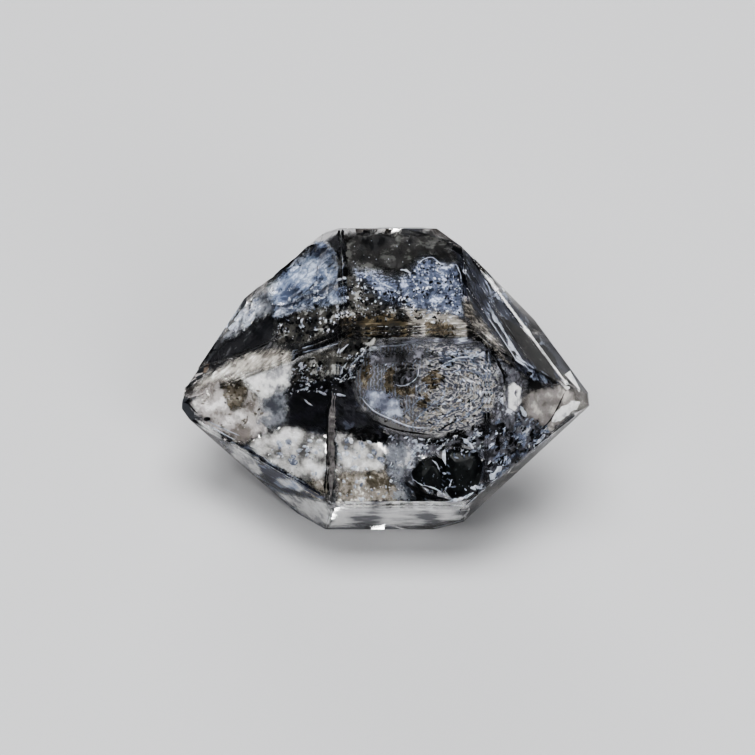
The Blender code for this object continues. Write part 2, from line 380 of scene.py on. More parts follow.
def flake(pile, sheet, px, py, longSide, shortSide, angle, s):
    corners = rng.randint(*s["corners"])
    turn = rng.random() * s["turn"]
    ring = []
    for k in range(corners):
        a = turn + 2 * pi * k / corners
        r = rng.uniform(*s["cornerReach"])
        along, across = longSide * 0.5 * cos(a) * r, shortSide * 0.5 * sin(a) * r
        x = px + along * cos(angle) - across * sin(angle)
        y = py + along * sin(angle) + across * cos(angle)
        spot = onSheet(sheet, x, y, rng.uniform(-s["tilt"], s["tilt"]))
        if spot is None:
            return False
        ring.append(spot)
    spread = max((a - b).length for a in ring for b in ring)
    if spread > s["spread"] * longSide * cameraSettings["pixelSize"]:
        return False
    middle = sum(ring, Vector()) / corners
    lift = sheet["normal"] * s["thick"]
    pile.lens(ring, middle + lift, middle - lift, sheet["normal"], rng.random())
    return True


# Flakes strewn in an outline, along one direction or around an oval's rings
def scatter(pile, own):
    s = {**flakeUsual, **own}
    sheet = makeSheet(s)
    xs, ys = zip(*s["outline"])
    small, large = s["size"]
    made, tries = 0, 0
    while made < s["count"] and tries < s["count"] * s["tries"]:
        tries += 1
        x, y = rng.uniform(min(xs), max(xs)), rng.uniform(min(ys), max(ys))
        if not inPolygon(x, y, s["outline"]):
            continue
        cluster = noise.noise(Vector((x, y, s["seed"])) / s["lumpSize"])
        if cluster < s["lumpCut"] + rng.uniform(-s["lumpBlur"], s["lumpBlur"]):
            continue
        size = small + (large * s["oversize"] - small) * rng.random() ** s["sizeBend"]
        if "rings" in s:
            cx, cy, wide, high = s["rings"]
            angle = atan2((x - cx) / wide * high, -(y - cy) / high * wide)
        else:
            angle = radians(s["angle"])
        angle += rng.gauss(0, s["stray"])
        made += flake(pile, sheet, x, y, size * s["stretch"], size, angle, s)


# Films: steps and outlines in pixels, thickness in mm
filmUsual = {
    "thick": 0.08, "patchy": 0.8, "thinnest": 0.1, "step": 1.2,
    "grow": 8,                   # reach past the outline, fading out over twice as much
    "seed": 0, "lumpSize": 6, "lumpNoise": (0.8, 2.1, 3),
    "toneSize": 14, "toneLayer": 7,
    "widest": 6,                 # steps: cells torn wider than this by an edge are left out
}


# A thin body in an outline, fading out across it, thicker and thinner in lumps
def film(pile, own):
    s = {**filmUsual, **own}
    sheet = makeSheet(s)
    grow, step = s["grow"], s["step"]
    xs, ys = zip(*s["outline"])
    left, right, top, bottom = min(xs) - grow, max(xs) + grow, min(ys) - grow, max(ys) + grow
    columns, rows = int((right - left) / step) + 2, int((bottom - top) / step) + 2
    index = {}
    for j in range(rows):
        for i in range(columns):
            x, y = left + i * step, top + j * step
            edgeGap = edgeDistance(x, y, s["outline"])
            if not inPolygon(x, y, s["outline"]):
                edgeGap = -edgeGap
            if edgeGap < -grow:
                continue
            spot = onSheet(sheet, x, y)
            if spot is None:
                continue
            lump = noise.fractal(Vector((x, y, s["seed"])) / s["lumpSize"], *s["lumpNoise"])
            thick = s["thick"] * max(s["thinnest"], 1 + s["patchy"] * lump)
            index[i, j] = len(pile.verts)
            fade = min(1, (edgeGap + grow) / (2 * grow))
            tone = 0.5 + noise.noise(Vector((x, y, s["toneLayer"] + s["seed"])) / s["toneSize"])
            for k in (index[i, j], index[i, j] + 1):
                pile.fades[k], pile.tones[k] = fade, tone
            half = sheet["normal"] * thick / 2
            pile.verts += [spot + half, spot - half]
    closeFilm(pile, index, s["widest"] * step * cameraSettings["pixelSize"])


def closeFilm(pile, index, reach):
    cells = {}
    for i, j in index:
        around = ((i, j), (i + 1, j), (i + 1, j + 1), (i, j + 1))
        if all(k in index for k in around):
            corners = [index[k] for k in around]
            a, b, c, d = (pile.verts[k] for k in corners)
            if (a - c).length < reach and (b - d).length < reach:
                cells[i, j] = corners
    for i, j in sorted(cells):
        a, b, c, d = cells[i, j]
        pile.faces += [(a, d, c), (a, c, b), (a + 1, b + 1, c + 1), (a + 1, c + 1, d + 1)]
        for near, (p, q) in (((i, j - 1), (a, b)), ((i + 1, j), (b, c)),
                             ((i, j + 1), (c, d)), ((i - 1, j), (d, a))):
            if near not in cells:
                pile.faces += [(p, q, q + 1), (p, q + 1, p + 1)]


def smoothPath(points, step):
    path = []
    for k in range(len(points) - 1):
        a, b = Vector(points[k]), Vector(points[k + 1])
        before = Vector(points[k - 1]) if k else a
        after = Vector(points[k + 2]) if k + 2 < len(points) else b
        parts = max(2, int((b - a).length / step))
        for i in range(parts):
            t = i / parts
            path.append(0.5 * ((2 * a) + (b - before) * t
                               + (2 * before - 5 * a + 4 * b - after) * t * t
                               + (3 * a - before - 3 * b + after) * t ** 3))
    path.append(Vector(points[-1]))
    return path


# Ribbons: step and width in pixels, thickness in mm
ribbonUsual = {"thick": 0.04, "step": 2.0, "ragged": 0.25, "taper": 4, "tip": 0.05}


# A narrow ribbon along a line in the picture, tapered at both ends
def ribbon(pile, own):
    s = {**ribbonUsual, **own}
    sheet = makeSheet(s)
    path = smoothPath(s["line"], s["step"])
    sections = []
    for k, p in enumerate(path):
        ahead = path[min(k + 1, len(path) - 1)] - path[max(k - 1, 0)]
        side = Vector((-ahead.y, ahead.x)).normalized()
        t = k / (len(path) - 1)
        grow = min(1, s["taper"] * t + s["tip"], s["taper"] * (1 - t) + s["tip"])
        grow *= 1 + s["ragged"] * rng.uniform(-1, 1)
        half = s["wide"] / 2 * grow
        p = p + side * rng.uniform(-1, 1) * s["ragged"] * 0.5
        thick = s["thick"] * grow
        spots = [onSheet(sheet, *(p + side * half)), onSheet(sheet, *p, thick),
                 onSheet(sheet, *(p - side * half)), onSheet(sheet, *p, -thick)]
        if None in spots:
            closeRibbon(pile, sections)
            sections = []
            continue
        sections.append(spots)
    closeRibbon(pile, sections)


def closeRibbon(pile, sections):
    if len(sections) < 2:
        return
    start = len(pile.verts)
    for spots in sections:
        pile.verts += spots
    for k in range(len(sections) - 1):
        a, b = start + 4 * k, start + 4 * k + 4
        for i in range(4):
            j = (i + 1) % 4
            pile.faces += [(a + i, b + i, b + j), (a + i, b + j, a + j)]
    last = start + 4 * (len(sections) - 1)
    pile.faces += [(start, start + 1, start + 2), (start, start + 2, start + 3),
                   (last, last + 2, last + 1), (last, last + 3, last + 2)]


# Lumps: how far each level lies from the sheet and how wide its outline is there
lumpShape = {
    "jolt": 0.08,
    "levels": ((-1, 0.35), (-0.6, 0.75), (0, 1), (0.6, 0.8), (1, 0.45)),
}


# A solid lump: its outline in the picture, drawn in towards front and back
def lump(pile, s):
    sheet = makeSheet(s)
    bm = bmesh.new()
    cx, cy = (sum(values) / len(values) for values in zip(*s["outline"]))
    jolt = lumpShape["jolt"]
    for level, shrink in lumpShape["levels"]:
        for x, y in s["outline"]:
            k = shrink * (1 + rng.uniform(-jolt, jolt))
            lift = level * s["thick"] * (1 + rng.uniform(-jolt, jolt))
            spot = onSheet(sheet, cx + (x - cx) * k, cy + (y - cy) * k, lift)
            if spot is not None:
                bm.verts.new(spot)
    bmesh.ops.convex_hull(bm, input=bm.verts)
    for v in [v for v in bm.verts if not v.link_faces]:
        bm.verts.remove(v)
    bmesh.ops.triangulate(bm, faces=bm.faces[:])
    bmesh.ops.recalc_face_normals(bm, faces=bm.faces[:])
    start = len(pile.verts)
    bm.verts.index_update()
    pile.verts += [v.co.copy() for v in bm.verts]
    pile.faces += [tuple(start + v.index for v in f.verts) for f in bm.faces]
    bm.free()


# All patches, lines or outlines of one piece, in one mesh
def makePiece(maker, name, material, slot, parts, *nodes):
    pile = Pile()
    for part in parts:
        maker(pile, part)
    pile.piece(name, material, slot, *nodes)


def films(*piece):
    makePiece(film, *piece)


def flakes(*piece):
    makePiece(scatter, *piece)


def ribbons(*piece):
    makePiece(ribbon, *piece)


def lumps(*piece):
    makePiece(lump, *piece)


# Parts that share a zone's values, each with its own added
def within(zone, *parts):
    return [{**zone, **part} for part in parts]


# Three colours mixed in cloudy spots, which can be drawn out along a direction
mottling = {
    "spots": {"Detail": 3, "Roughness": 0.65},
    "middleRise": (0.30, 0.52),  # noise values where the dark colour gives way
    "lightFrom": (0.72, 0.40),   # and the light one starts, at a share of 0 and 1
    "lightFull": 0.75,
    "toneReach": 0.36,           # how far the tone shifts the noise
    "coverReach": 1.2,           # how far the fade shifts the cover
    "coverRise": (0.8, 1.5),
    "inputs": (
        ("Dark", "Color", (0, 0, 0, 1)), ("Middle", "Color", (0.5, 0.5, 0.5, 1)),
        ("Light", "Color", (1, 1, 1, 1)), ("Turn", "Vector", (0, 0, 0)),
        ("Stretch", "Vector", (1, 1, 1)), ("Size", "Float", 0.3), ("Light Share", "Float", 0.5),
        ("Tone", "Float", 0.5), ("Fade", "Float", 1.0),
    ),
}


def joinNodes(tree, links):
    for source, output, target, entry in links:
        tree.links.new(source.outputs[output], target.inputs[entry])


def smoothRise(tree, low, high):
    return addNode(tree, "MapRange", {"From Min": low, "From Max": high},
                   interpolation_type="SMOOTHSTEP")


def mottleGroup(s):
    g = bpy.data.node_groups.new("mottle", "ShaderNodeTree")
    for name, kind, value in s["inputs"]:
        socket = g.interface.new_socket(name, in_out="INPUT", socket_type="NodeSocket" + kind)
        socket.default_value = value
    g.interface.new_socket("Color", in_out="OUTPUT", socket_type="NodeSocketColor")
    g.interface.new_socket("Cover", in_out="OUTPUT", socket_type="NodeSocketFloat")
    into, out = g.nodes.new("NodeGroupInput"), g.nodes.new("NodeGroupOutput")
    where = addNode(g, "NewGeometry")
    turned = addNode(g, "Mapping", vector_type="TEXTURE")
    spots = addNode(g, "TexNoise", s["spots"])
    scale = addNode(g, "Math", {0: 1 / mm}, operation="DIVIDE")
    toned = addNode(g, "Math", {1: s["toneReach"], 2: -s["toneReach"] / 2},
                    operation="MULTIPLY_ADD")
    shifted = addNode(g, "Math")
    low = smoothRise(g, *s["middleRise"])
    half = addNode(g, "MapRange", {"To Min": s["lightFrom"][0], "To Max": s["lightFrom"][1]})
    high = smoothRise(g, 0, s["lightFull"])
    first, second = addNode(g, "Mix", data_type="RGBA"), addNode(g, "Mix", data_type="RGBA")
    cover = addNode(g, "Math", {1: s["coverReach"]}, operation="MULTIPLY_ADD")
    covered = smoothRise(g, *s["coverRise"])
    joinNodes(g, (
        (where, "Position", turned, "Vector"),
        (into, "Turn", turned, "Rotation"),
        (into, "Stretch", turned, "Scale"),
        (turned, 0, spots, "Vector"),
        (into, "Size", scale, 1),
        (scale, 0, spots, "Scale"),
        (into, "Tone", toned, 0),
        (toned, 0, shifted, 0),
        (spots, "Fac", shifted, 1),
        (shifted, 0, low, "Value"),
        (shifted, 0, high, "Value"),
        (into, "Light Share", half, "Value"),
        (half, 0, high, "From Min"),
        (low, 0, first, "Factor"),
        (into, "Dark", first, "A"),
        (into, "Middle", first, "B"),
        (high, 0, second, "Factor"),
        (first, "Result", second, "A"),
        (into, "Light", second, "B"),
        (second, "Result", out, "Color"),
        (into, "Fade", cover, 0),
        (spots, "Fac", cover, 2),
        (cover, 0, covered, "Value"),
        (covered, 0, out, "Cover"),
    ))
    return g


mottle = mottleGroup(mottling)


sealedIor = 1.3                  # of what is sealed in, seen from within the quartz


# Size in mm, share of the light colour from 0 to 1, turn in degrees. A feathered
# finish lets the film's rim fade away.
def cloudyMaterial(name, dark, middle, light, size=0.3, share=0.5, turn=(0, 0, 0),
                   stretch=(1, 1, 1), clear=0.0, roughness=0.4, feathered=True):
    m, shader = newMaterial(name, {"Roughness": roughness, "IOR": sealedIor,
                                   "Transmission Weight": clear})
    nt = m.node_tree
    spots = addNode(nt, "Group", node_tree=mottle)
    for key, value in (("Dark", (*dark, 1)), ("Middle", (*middle, 1)), ("Light", (*light, 1)),
                       ("Turn", [radians(a) for a in turn]), ("Stretch", stretch), ("Size", size),
                       ("Light Share", share)):
        spots.inputs[key].default_value = value
    for key in ("Tone", "Fade"):
        layer = addNode(nt, "Attribute", attribute_name=key.lower())
        nt.links.new(layer.outputs["Fac"], spots.inputs[key])
    nt.links.new(spots.outputs["Color"], shader.inputs["Base Color"])
    if feathered:
        nt.links.new(spots.outputs["Cover"], shader.inputs["Alpha"])
    return m


def grainMaterial(*colors, size=0.35, share=0.5, roughness=0.3):
    return cloudyMaterial(*colors, size=size, share=share, feathered=False, roughness=roughness)


# White, for veil flakes and lines and for painted glints
veil = grainMaterial("veilWhite", (0.20, 0.22, 0.28), (0.60, 0.64, 0.72), (1, 1, 1))
blueVeil = grainMaterial("veilBlue", (0.06, 0.07, 0.10), (0.22, 0.25, 0.33), (0.8, 0.86, 1))
beige = grainMaterial("veilBeige", (0.12, 0.105, 0.09), (0.36, 0.335, 0.30), (0.85, 0.83, 0.80))
olive = grainMaterial("oilOlive", (0.03, 0.025, 0.018), (0.10, 0.08, 0.052), (0.28, 0.24, 0.18),
                      size=0.4, roughness=0.2)
# Near-black, for bitumen specks and grains and for dark lines, among them one of painted shade
# along an edge
bitumen = grainMaterial("bitumenBlack", (0.004, 0.004, 0.005), (0.01, 0.009, 0.009),
                        (0.05, 0.05, 0.055), size=0.3, share=0.2, roughness=0.2)


# The oval window under the front face: an oil-filled crack with a fine fingerprint
window = {
    "outline": [(357, 360), (366, 352), (380, 346), (402, 343), (432, 341), (466, 343), (484, 347),
                (497, 362), (506, 384), (503, 400), (493, 413), (477, 424), (456, 431), (434, 434),
                (413, 431), (394, 423), (374, 414), (361, 404), (356, 388), (354, 372)],
    "anchor": (430, 388),
    "depth": 1.25, "thick": 0.12, "patchy": 0.7, "grow": 1,
    "face": (30, 0, 5.08),       # azimuth, lean, mm from the long axis
    "ringCentre": (2.85, 0.45),  # mm along and across that face
    "ringReach": (4.3, 2.75),
    "ringWave": {"Scale": 3.0, "Distortion": 20.0, "Detail": 3.0, "Detail Scale": 1.2,
                 "Detail Roughness": 0.7},
    "bandWave": {"Scale": 6.5, "Distortion": 6.0, "Detail": 4.0, "Detail Scale": 2.0},
    "ringColors": ((0.05, (0.06, 0.065, 0.085)), (0.4, (0.15, 0.15, 0.18)),
                   (0.65, (0.25, 0.25, 0.26)), (0.95, (0.50, 0.49, 0.48))),
    "bandColors": ((0.0, (0.09, 0.08, 0.07)), (0.4, (0.12, 0.115, 0.115)),
                   (0.75, (0.15, 0.155, 0.18)), (1.0, (0.20, 0.22, 0.28))),
    "grain": {"Scale": 9.0, "Detail": 3},
    "ringRise": (0.10, 0.62),    # where the bands at the left give way to the rings
    "roughness": 0.3,
}


def fillRamp(ramp, stops):
    points = ramp.color_ramp.elements
    while len(points) < len(stops):
        points.new(0.5)
    for point, (place, color) in zip(points, stops):
        point.position, point.color = place, (*color, 1)


def windowMaterial(s):
    m, shader = newMaterial("oilWindow", {"Roughness": s["roughness"]})
    nt = m.node_tree
    azimuth, lean, far = s["face"]
    normal, along = faceNormal(azimuth, lean), Vector((1, 0, 0))
    middle = normal * far + along * s["ringCentre"][0] + normal.cross(along) * s["ringCentre"][1]
    where = addNode(nt, "NewGeometry")
    place = addNode(nt, "Mapping", {
        "Location": (middle + Vector(cameraSettings["axisPoint"])) * mm,
        "Rotation": (radians(90 - azimuth), 0, 0),
        "Scale": (s["ringReach"][0] * mm, s["ringReach"][1] * mm, 1),
    }, vector_type="TEXTURE")
    rings = addNode(nt, "TexWave", s["ringWave"], wave_type="RINGS", rings_direction="SPHERICAL")
    bands = addNode(nt, "TexWave", s["bandWave"], wave_type="BANDS", bands_direction="X")
    ringColor, bandColor = addNode(nt, "ValToRGB"), addNode(nt, "ValToRGB")
    fillRamp(ringColor, s["ringColors"])
    fillRamp(bandColor, s["bandColors"])
    grain = addNode(nt, "TexNoise", s["grain"])
    axes = addNode(nt, "SeparateXYZ")
    edge = addNode(nt, "Math")
    side = smoothRise(nt, *s["ringRise"])
    mix = addNode(nt, "Mix", data_type="RGBA")
    joinNodes(nt, (
        (where, "Position", place, "Vector"),
        (place, 0, rings, "Vector"),
        (place, 0, bands, "Vector"),
        (place, 0, grain, "Vector"),
        (place, 0, axes, 0),
        (rings, "Fac", ringColor, "Fac"),
        (bands, "Fac", bandColor, "Fac"),
        (axes, "X", edge, 0),
        (grain, "Fac", edge, 1),
        (edge, 0, side, "Value"),
        (side, 0, mix, "Factor"),
        (bandColor, "Color", mix, "A"),
        (ringColor, "Color", mix, "B"),
        (mix, "Result", shader, "Base Color"),
    ))
    return m


windowRight = [
    (424, 350), (452, 350), (484, 353), (496, 368), (500, 386), (495, 402), (486, 414), (468, 423),
    (448, 428), (430, 428), (408, 424), (398, 410), (400, 396), (424, 392), (430, 372),
]
windowLower = [
    (400, 398), (430, 388), (470, 372), (496, 385), (492, 408), (468, 423), (430, 430), (404, 424),
]
windowRim = [
    (490, 350), (496, 352), (504, 368), (509, 386), (506, 404), (500, 404), (502, 386), (498, 368),
]
windowLeft = [
    (360, 366), (376, 352), (424, 350), (428, 372), (420, 392), (396, 398), (398, 418), (372, 410),
    (360, 396),
]
printMarks = {"anchor": window["anchor"], "depth": 1.12, "stretch": 2.8,
    "rings": (436, 390, 70, 44), "stray": 0.5, "tilt": 0.03, "lumpSize": 5}
printWhite = within(
    printMarks,
    dict(outline=windowRight, count=230, size=(0.5, 1.7), lumpCut=0.05),
    dict(outline=[(440, 352), (488, 350), (488, 358), (440, 368)], count=55, size=(1.0, 2.4),
        stray=0.3),
    dict(outline=windowLeft, count=110, size=(0.5, 1.1), stretch=4, lumpCut=0.05),
)
printGlints = within(
    dict(printMarks, depth=1.05),
    dict(outline=[(440, 350), (490, 352), (500, 384), (488, 408), (462, 396), (452, 366)],
        count=60, size=(0.5, 1.9)),
    dict(outline=[(430, 392), (470, 384), (490, 400), (470, 420), (432, 426)], count=50,
        size=(0.5, 1.6), seed=9),
)
printBeige = [
    dict(printMarks, outline=windowLower, count=300, size=(0.6, 1.9), seed=4, lumpCut=0.0),
]
printBlack = within(
    dict(printMarks, depth=1.08),
    dict(outline=windowRight, count=150, size=(0.6, 1.5), lumpCut=0.05, seed=7),
    dict(outline=windowRim, count=80, size=(0.9, 1.8), rings=(432, 388, 74, 46)),
    dict(outline=[(396, 366), (414, 362), (418, 378), (404, 386), (394, 380)], count=35,
        size=(0.9, 2.0)),
)
printOil = within(
    printMarks,
    dict(outline=[(388, 370), (392, 372), (393, 384), (391, 392), (386, 392), (386, 380)],
        count=60, size=(1.5, 3)),
    dict(outline=[(396, 389), (405, 386), (414, 390), (408, 394), (398, 393)], count=40,
        size=(1.5, 3)),
    dict(outline=[(424, 378), (436, 370), (443, 380), (441, 391), (430, 390)], count=50,
        size=(1.5, 3)),
    dict(outline=[(418, 404), (424, 394), (430, 396), (426, 406), (420, 408)], count=30,
        size=(1.5, 2.5)),
    dict(outline=[(362, 372), (367, 358), (371, 362), (368, 384), (363, 390)], count=45,
        size=(1.5, 3)),
)
brightLines = {"anchor": window["anchor"], "depth": 1.08}
windowLines = within(
    brightLines,
    dict(line=[(360, 396), (374, 411), (395, 421), (412, 427), (430, 428)], wide=1.6),
    dict(line=[(352, 368), (358, 358), (366, 352), (376, 347), (400, 345), (422, 342)], wide=1.8),
    dict(line=[(345, 334), (372, 333), (410, 333), (440, 333), (468, 335)], wide=1.1),
    dict(line=[(418, 364), (418, 375), (412, 382), (403, 386), (394, 384)], wide=1.0),
    dict(line=[(440, 366), (458, 358), (478, 356), (488, 354)], wide=1.5, ragged=0.5),
    dict(line=[(476, 356), (484, 354), (490, 357)], wide=4.0, ragged=0.5),
)
darkLines = within(
    brightLines,
    dict(line=[(352, 406), (374, 421), (398, 430), (430, 435)], wide=1.8),
    dict(line=[(456, 421), (446, 426), (438, 432)], wide=1.4),
    dict(line=[(440, 336), (462, 336), (479, 338)], wide=3.2),
    dict(line=[(356, 362), (353, 375), (356, 392)], wide=1.0),
    dict(line=[(400, 336), (424, 336), (440, 337)], wide=1.6),
)
slantLines = within(
    dict(brightLines, depth=1.06, ragged=0.7),
    dict(line=[(412, 424), (428, 408), (446, 396)], wide=1.4),
    dict(line=[(432, 428), (450, 412), (474, 400)], wide=1.2),
    dict(line=[(404, 414), (416, 402), (426, 394)], wide=1.0),
    dict(line=[(452, 424), (470, 414), (486, 402)], wide=1.2),
    dict(line=[(440, 366), (458, 360), (480, 366), (490, 378)], wide=1.2),
    dict(line=[(446, 374), (466, 370), (484, 380), (486, 396)], wide=1.0),
)
windowHaze = [
    dict(brightLines, depth=1.1, thick=0.04, grow=7, outline=[(364, 388), (384, 392), (400, 400),
        (402, 418), (388, 416), (370, 406)]),
]
aboveWindow = [
    dict(brightLines, depth=1.0, outline=[(330, 348), (345, 336), (376, 337), (440, 337),
        (484, 337), (500, 350), (506, 366), (484, 348), (432, 342), (380, 346), (356, 360),
        (330, 372)]),
]
films("windowFilm", windowMaterial(window), "oil_film", [window], "oil_window")
blueHaze = cloudyMaterial("hazeBlue", (0.12, 0.13, 0.17), (0.26, 0.28, 0.35), (0.5, 0.54, 0.63),
    size=0.5)
films("windowHaze", blueHaze, "healed_veil", windowHaze)
ridgeMottle = cloudyMaterial("ridgeMottle", (0.03, 0.03, 0.035), (0.15, 0.155, 0.19),
    (0.6, 0.64, 0.72), size=0.25, share=0.35, turn=(0, 0, 4), stretch=(4, 1, 1))
films("aboveWindow", ridgeMottle, "healed_veil", aboveWindow)
# Dark films that paint shade over parts of the window
windowShade = within(
    dict(brightLines, depth=1.12, thick=0.03),
    dict(grow=9, outline=[(372, 352), (424, 350), (436, 356), (414, 362), (384, 366), (366, 366)]),
    dict(grow=7, seed=2, outline=[(392, 372), (410, 370), (418, 380), (408, 388), (394, 386)]),
)
dimShade = cloudyMaterial("shadeDim", (0.02, 0.02, 0.022), (0.08, 0.08, 0.09), (0.26, 0.26, 0.3),
    size=0.35, share=0.4)
films("windowShade", dimShade, "oil_film", windowShade)
flakes("windowPrint", blueVeil, "healed_veil", printWhite)
flakes("windowGlints", veil, "healed_veil", printGlints)
flakes("windowGrain", beige, "healed_veil", printBeige)
flakes("windowSpecks", bitumen, "bitumen", printBlack)
flakes("windowOil", olive, "oil_film", printOil)
ribbons("windowLines", veil, "healed_veil", windowLines)
ribbons("windowSlants", blueVeil, "healed_veil", slantLines)
ribbons("windowShades", bitumen, "bitumen", darkLines)

# Under the top face: a blue frosted cloud, with painted shade and dark mottled oil above it,
# an olive band and a beige one along the lower edge
topFace = {"anchor": (400, 290), "wave": 0.25, "waveSize": 1.2}
cloudOutline = [
    (396, 282), (408, 276), (417, 264), (428, 258), (440, 262), (447, 266), (456, 265), (463, 282),
    (462, 300), (470, 318), (440, 324), (412, 318), (400, 300),
]
cloud = within(
    topFace,
    dict(depth=0.85, thick=0.14, outline=cloudOutline, toneSize=8),
    dict(depth=0.8, thick=0.06, grow=11, seed=2, outline=[(356, 272), (374, 274), (400, 284),
        (402, 306), (384, 300), (368, 286)]),
)
cloudRim = within(
    dict(topFace, depth=0.7),
    dict(line=[(416, 266), (424, 259), (433, 258), (441, 264), (447, 266)], wide=1.0, ragged=0.9),
    dict(line=[(447, 267), (456, 265), (460, 273), (462, 283)], wide=1.0, ragged=0.9),
    dict(line=[(372, 276), (380, 282), (390, 287), (396, 290)], wide=1.2, ragged=0.9),
    dict(line=[(400, 270), (406, 270), (411, 274)], wide=2.0, ragged=0.6),
)
cloudBits = [
    dict(topFace, depth=0.7, outline=cloudOutline, count=380, size=(0.5, 1.5), stretch=1.6,
        tilt=0.06, lumpCut=0.0, lumpSize=5),
]
cloudDark = [
    dict(topFace, depth=0.68, outline=cloudOutline, count=170, size=(0.6, 1.6), tilt=0.06,
        lumpCut=0.05, lumpSize=5, seed=3),
]
# A near-black film that paints in shade under the upper part of the top face
topDark = [
    dict(topFace, depth=0.95, grow=8, outline=[(345, 234), (380, 233), (430, 234), (446, 240),
        (458, 264), (440, 262), (430, 256), (416, 262), (404, 274), (386, 272), (366, 270),
        (346, 280)]),
]
topMottle = [
    dict(topFace, depth=0.9, outline=[(345, 276), (366, 270), (386, 276), (398, 288), (404, 304),
        (414, 318), (396, 322), (346, 326)], seed=5),
]
topOlive = [
    dict(topFace, depth=0.8, outline=[(345, 318), (366, 314), (384, 313), (404, 318), (420, 324),
        (404, 331), (346, 332)], seed=6),
]
topBeige = [
    dict(topFace, depth=0.75, outline=[(404, 308), (430, 312), (452, 314), (470, 320), (482, 334),
        (440, 331), (410, 326)], seed=7),
]
orangeSpots = [
    dict(topFace, depth=0.68, outline=[(424, 324), (436, 322), (450, 324), (460, 329), (440, 331),
        (426, 329)], count=70, size=(1.2, 2.6), tilt=0.04),
]
mottleWhite = within(
    topFace,
    dict(depth=0.75, outline=[(345, 280), (366, 270), (398, 288), (412, 318), (346, 322)],
        count=230, size=(0.5, 1.6), tilt=0.06, lumpCut=0.05, lumpSize=6),
    dict(depth=0.85, outline=[(350, 240), (420, 240), (414, 262), (352, 270)], count=24,
        size=(0.3, 0.7), tilt=0.05, lumpCut=0.1, lumpSize=8),
)
mottleBlack = within(
    topFace,
    dict(depth=0.72, outline=[(345, 286), (366, 280), (398, 292), (412, 318), (346, 326)],
        count=260, size=(0.7, 2.0), tilt=0.06, lumpCut=0.0, lumpSize=6, seed=5),
    dict(depth=0.65, outline=[(345, 328), (400, 328), (440, 334), (478, 334), (478, 339),
        (345, 336)], count=50, size=(0.9, 2.0), stretch=2.5, stray=0.2, tilt=0.04),
)
blueCloud = cloudyMaterial("cloudBlue", (0.03, 0.038, 0.065), (0.14, 0.165, 0.24),
    (0.62, 0.68, 0.84), size=0.2, share=0.45)
films("topCloud", blueCloud, "healed_veil", cloud, "healed_cloud")
# Near-black material of painted shade, here and for the sliver on the right
paintedShadeFilm = cloudyMaterial("paintedShadeDark", (0.006, 0.006, 0.007), (0.02, 0.019, 0.018), (0.1, 0.1, 0.095),
    size=0.5, share=0.35)
films("topSmoke", paintedShadeFilm, "oil_film", topDark)
grayMottle = cloudyMaterial("mottleGray", (0.02, 0.02, 0.02), (0.09, 0.085, 0.075),
    (0.45, 0.45, 0.43), size=0.3, share=0.4)
films("topMottle", grayMottle, "oil_film", topMottle)
oliveBand = cloudyMaterial("bandOlive", (0.012, 0.01, 0.007), (0.055, 0.042, 0.022),
    (0.22, 0.18, 0.12), size=0.25, share=0.35, stretch=(2.5, 1, 1))
films("topOlive", oliveBand, "oil_film", topOlive)
beigeBand = cloudyMaterial("bandBeige", (0.08, 0.07, 0.06), (0.3, 0.28, 0.25), (0.9, 0.87, 0.84),
    size=0.25, share=0.5, stretch=(2.5, 1, 1))
films("topBeige", beigeBand, "healed_veil", topBeige)
flakes("topGlints", veil, "healed_veil", cloudBits + mottleWhite)
flakes("topSpecks", bitumen, "bitumen", cloudDark + mottleBlack)
flakes("topOil", olive, "oil_film", orangeSpots)
ribbons("cloudRim", veil, "healed_veil", cloudRim)

# Frosted blue patch behind the broken upper left, the olive zone below it, and dark zones
# of painted shade
leftTop = {"anchor": (300, 320), "depth": 0.9, "wave": 0.2, "waveSize": 1.2}
frost = within(
    leftTop,
    dict(anchor=(300, 284), depth=0.45, thick=0.1, seed=1, outline=[(322, 242), (335, 250),
        (341, 262), (342, 276), (325, 298), (300, 306), (275, 316), (272, 292), (284, 272),
        (299, 260)]),
    dict(depth=0.6, seed=2, outline=[(276, 300), (322, 296), (341, 288), (341, 302), (310, 306),
        (278, 316)]),
)
leftOlive = [
    dict(leftTop, seed=3, outline=[(276, 312), (300, 304), (342, 300), (343, 332), (310, 344),
        (276, 346)]),
]
# Near-black streaked films that paint in shade
leftDark = within(
    leftTop,
    dict(depth=0.8, seed=4, outline=[(212, 352), (232, 334), (256, 318), (276, 312), (276, 346),
        (310, 344), (343, 332), (343, 338), (300, 352), (262, 356), (236, 364), (204, 368)]),
    dict(depth=0.5, seed=5, grow=4, outline=[(326, 241), (340, 232), (342, 258), (334, 250)]),
)
leftGray = [
    dict(leftTop, depth=0.6, seed=6, outline=[(222, 340), (238, 316), (256, 296), (272, 284),
        (275, 310), (256, 318), (236, 334)]),
]
frostBits = [
    dict(leftTop, anchor=(300, 284), depth=0.32, outline=[(318, 268), (341, 264), (341, 280),
        (322, 300), (300, 306), (276, 312), (282, 300), (306, 296)], count=220, size=(0.6, 2.0),
        tilt=0.04, lumpSize=6, lumpCut=0.0),
]
leftWhite = within(
    leftTop,
    dict(depth=0.75, outline=[(276, 300), (342, 296), (343, 330), (300, 342), (276, 340)],
        count=170, size=(0.8, 2.0), lumpCut=0.1, lumpSize=6),
    dict(depth=0.5, outline=[(226, 334), (240, 312), (256, 298), (262, 306), (244, 330)],
        count=130, size=(1.4, 3.6), stretch=2, angle=-50, stray=0.5, lumpSize=7, lumpCut=0.0),
)
leftBlack = [
    dict(leftTop, depth=0.72, outline=[(276, 284), (342, 296), (343, 334), (276, 346)], count=260,
        size=(1.0, 2.4), lumpCut=0.0, lumpSize=6, seed=8),
]
leftStrokes = [
    dict(leftTop, depth=0.6, line=[(272, 360), (300, 353), (330, 346), (343, 341)], wide=0.8,
        ragged=0.5),
]
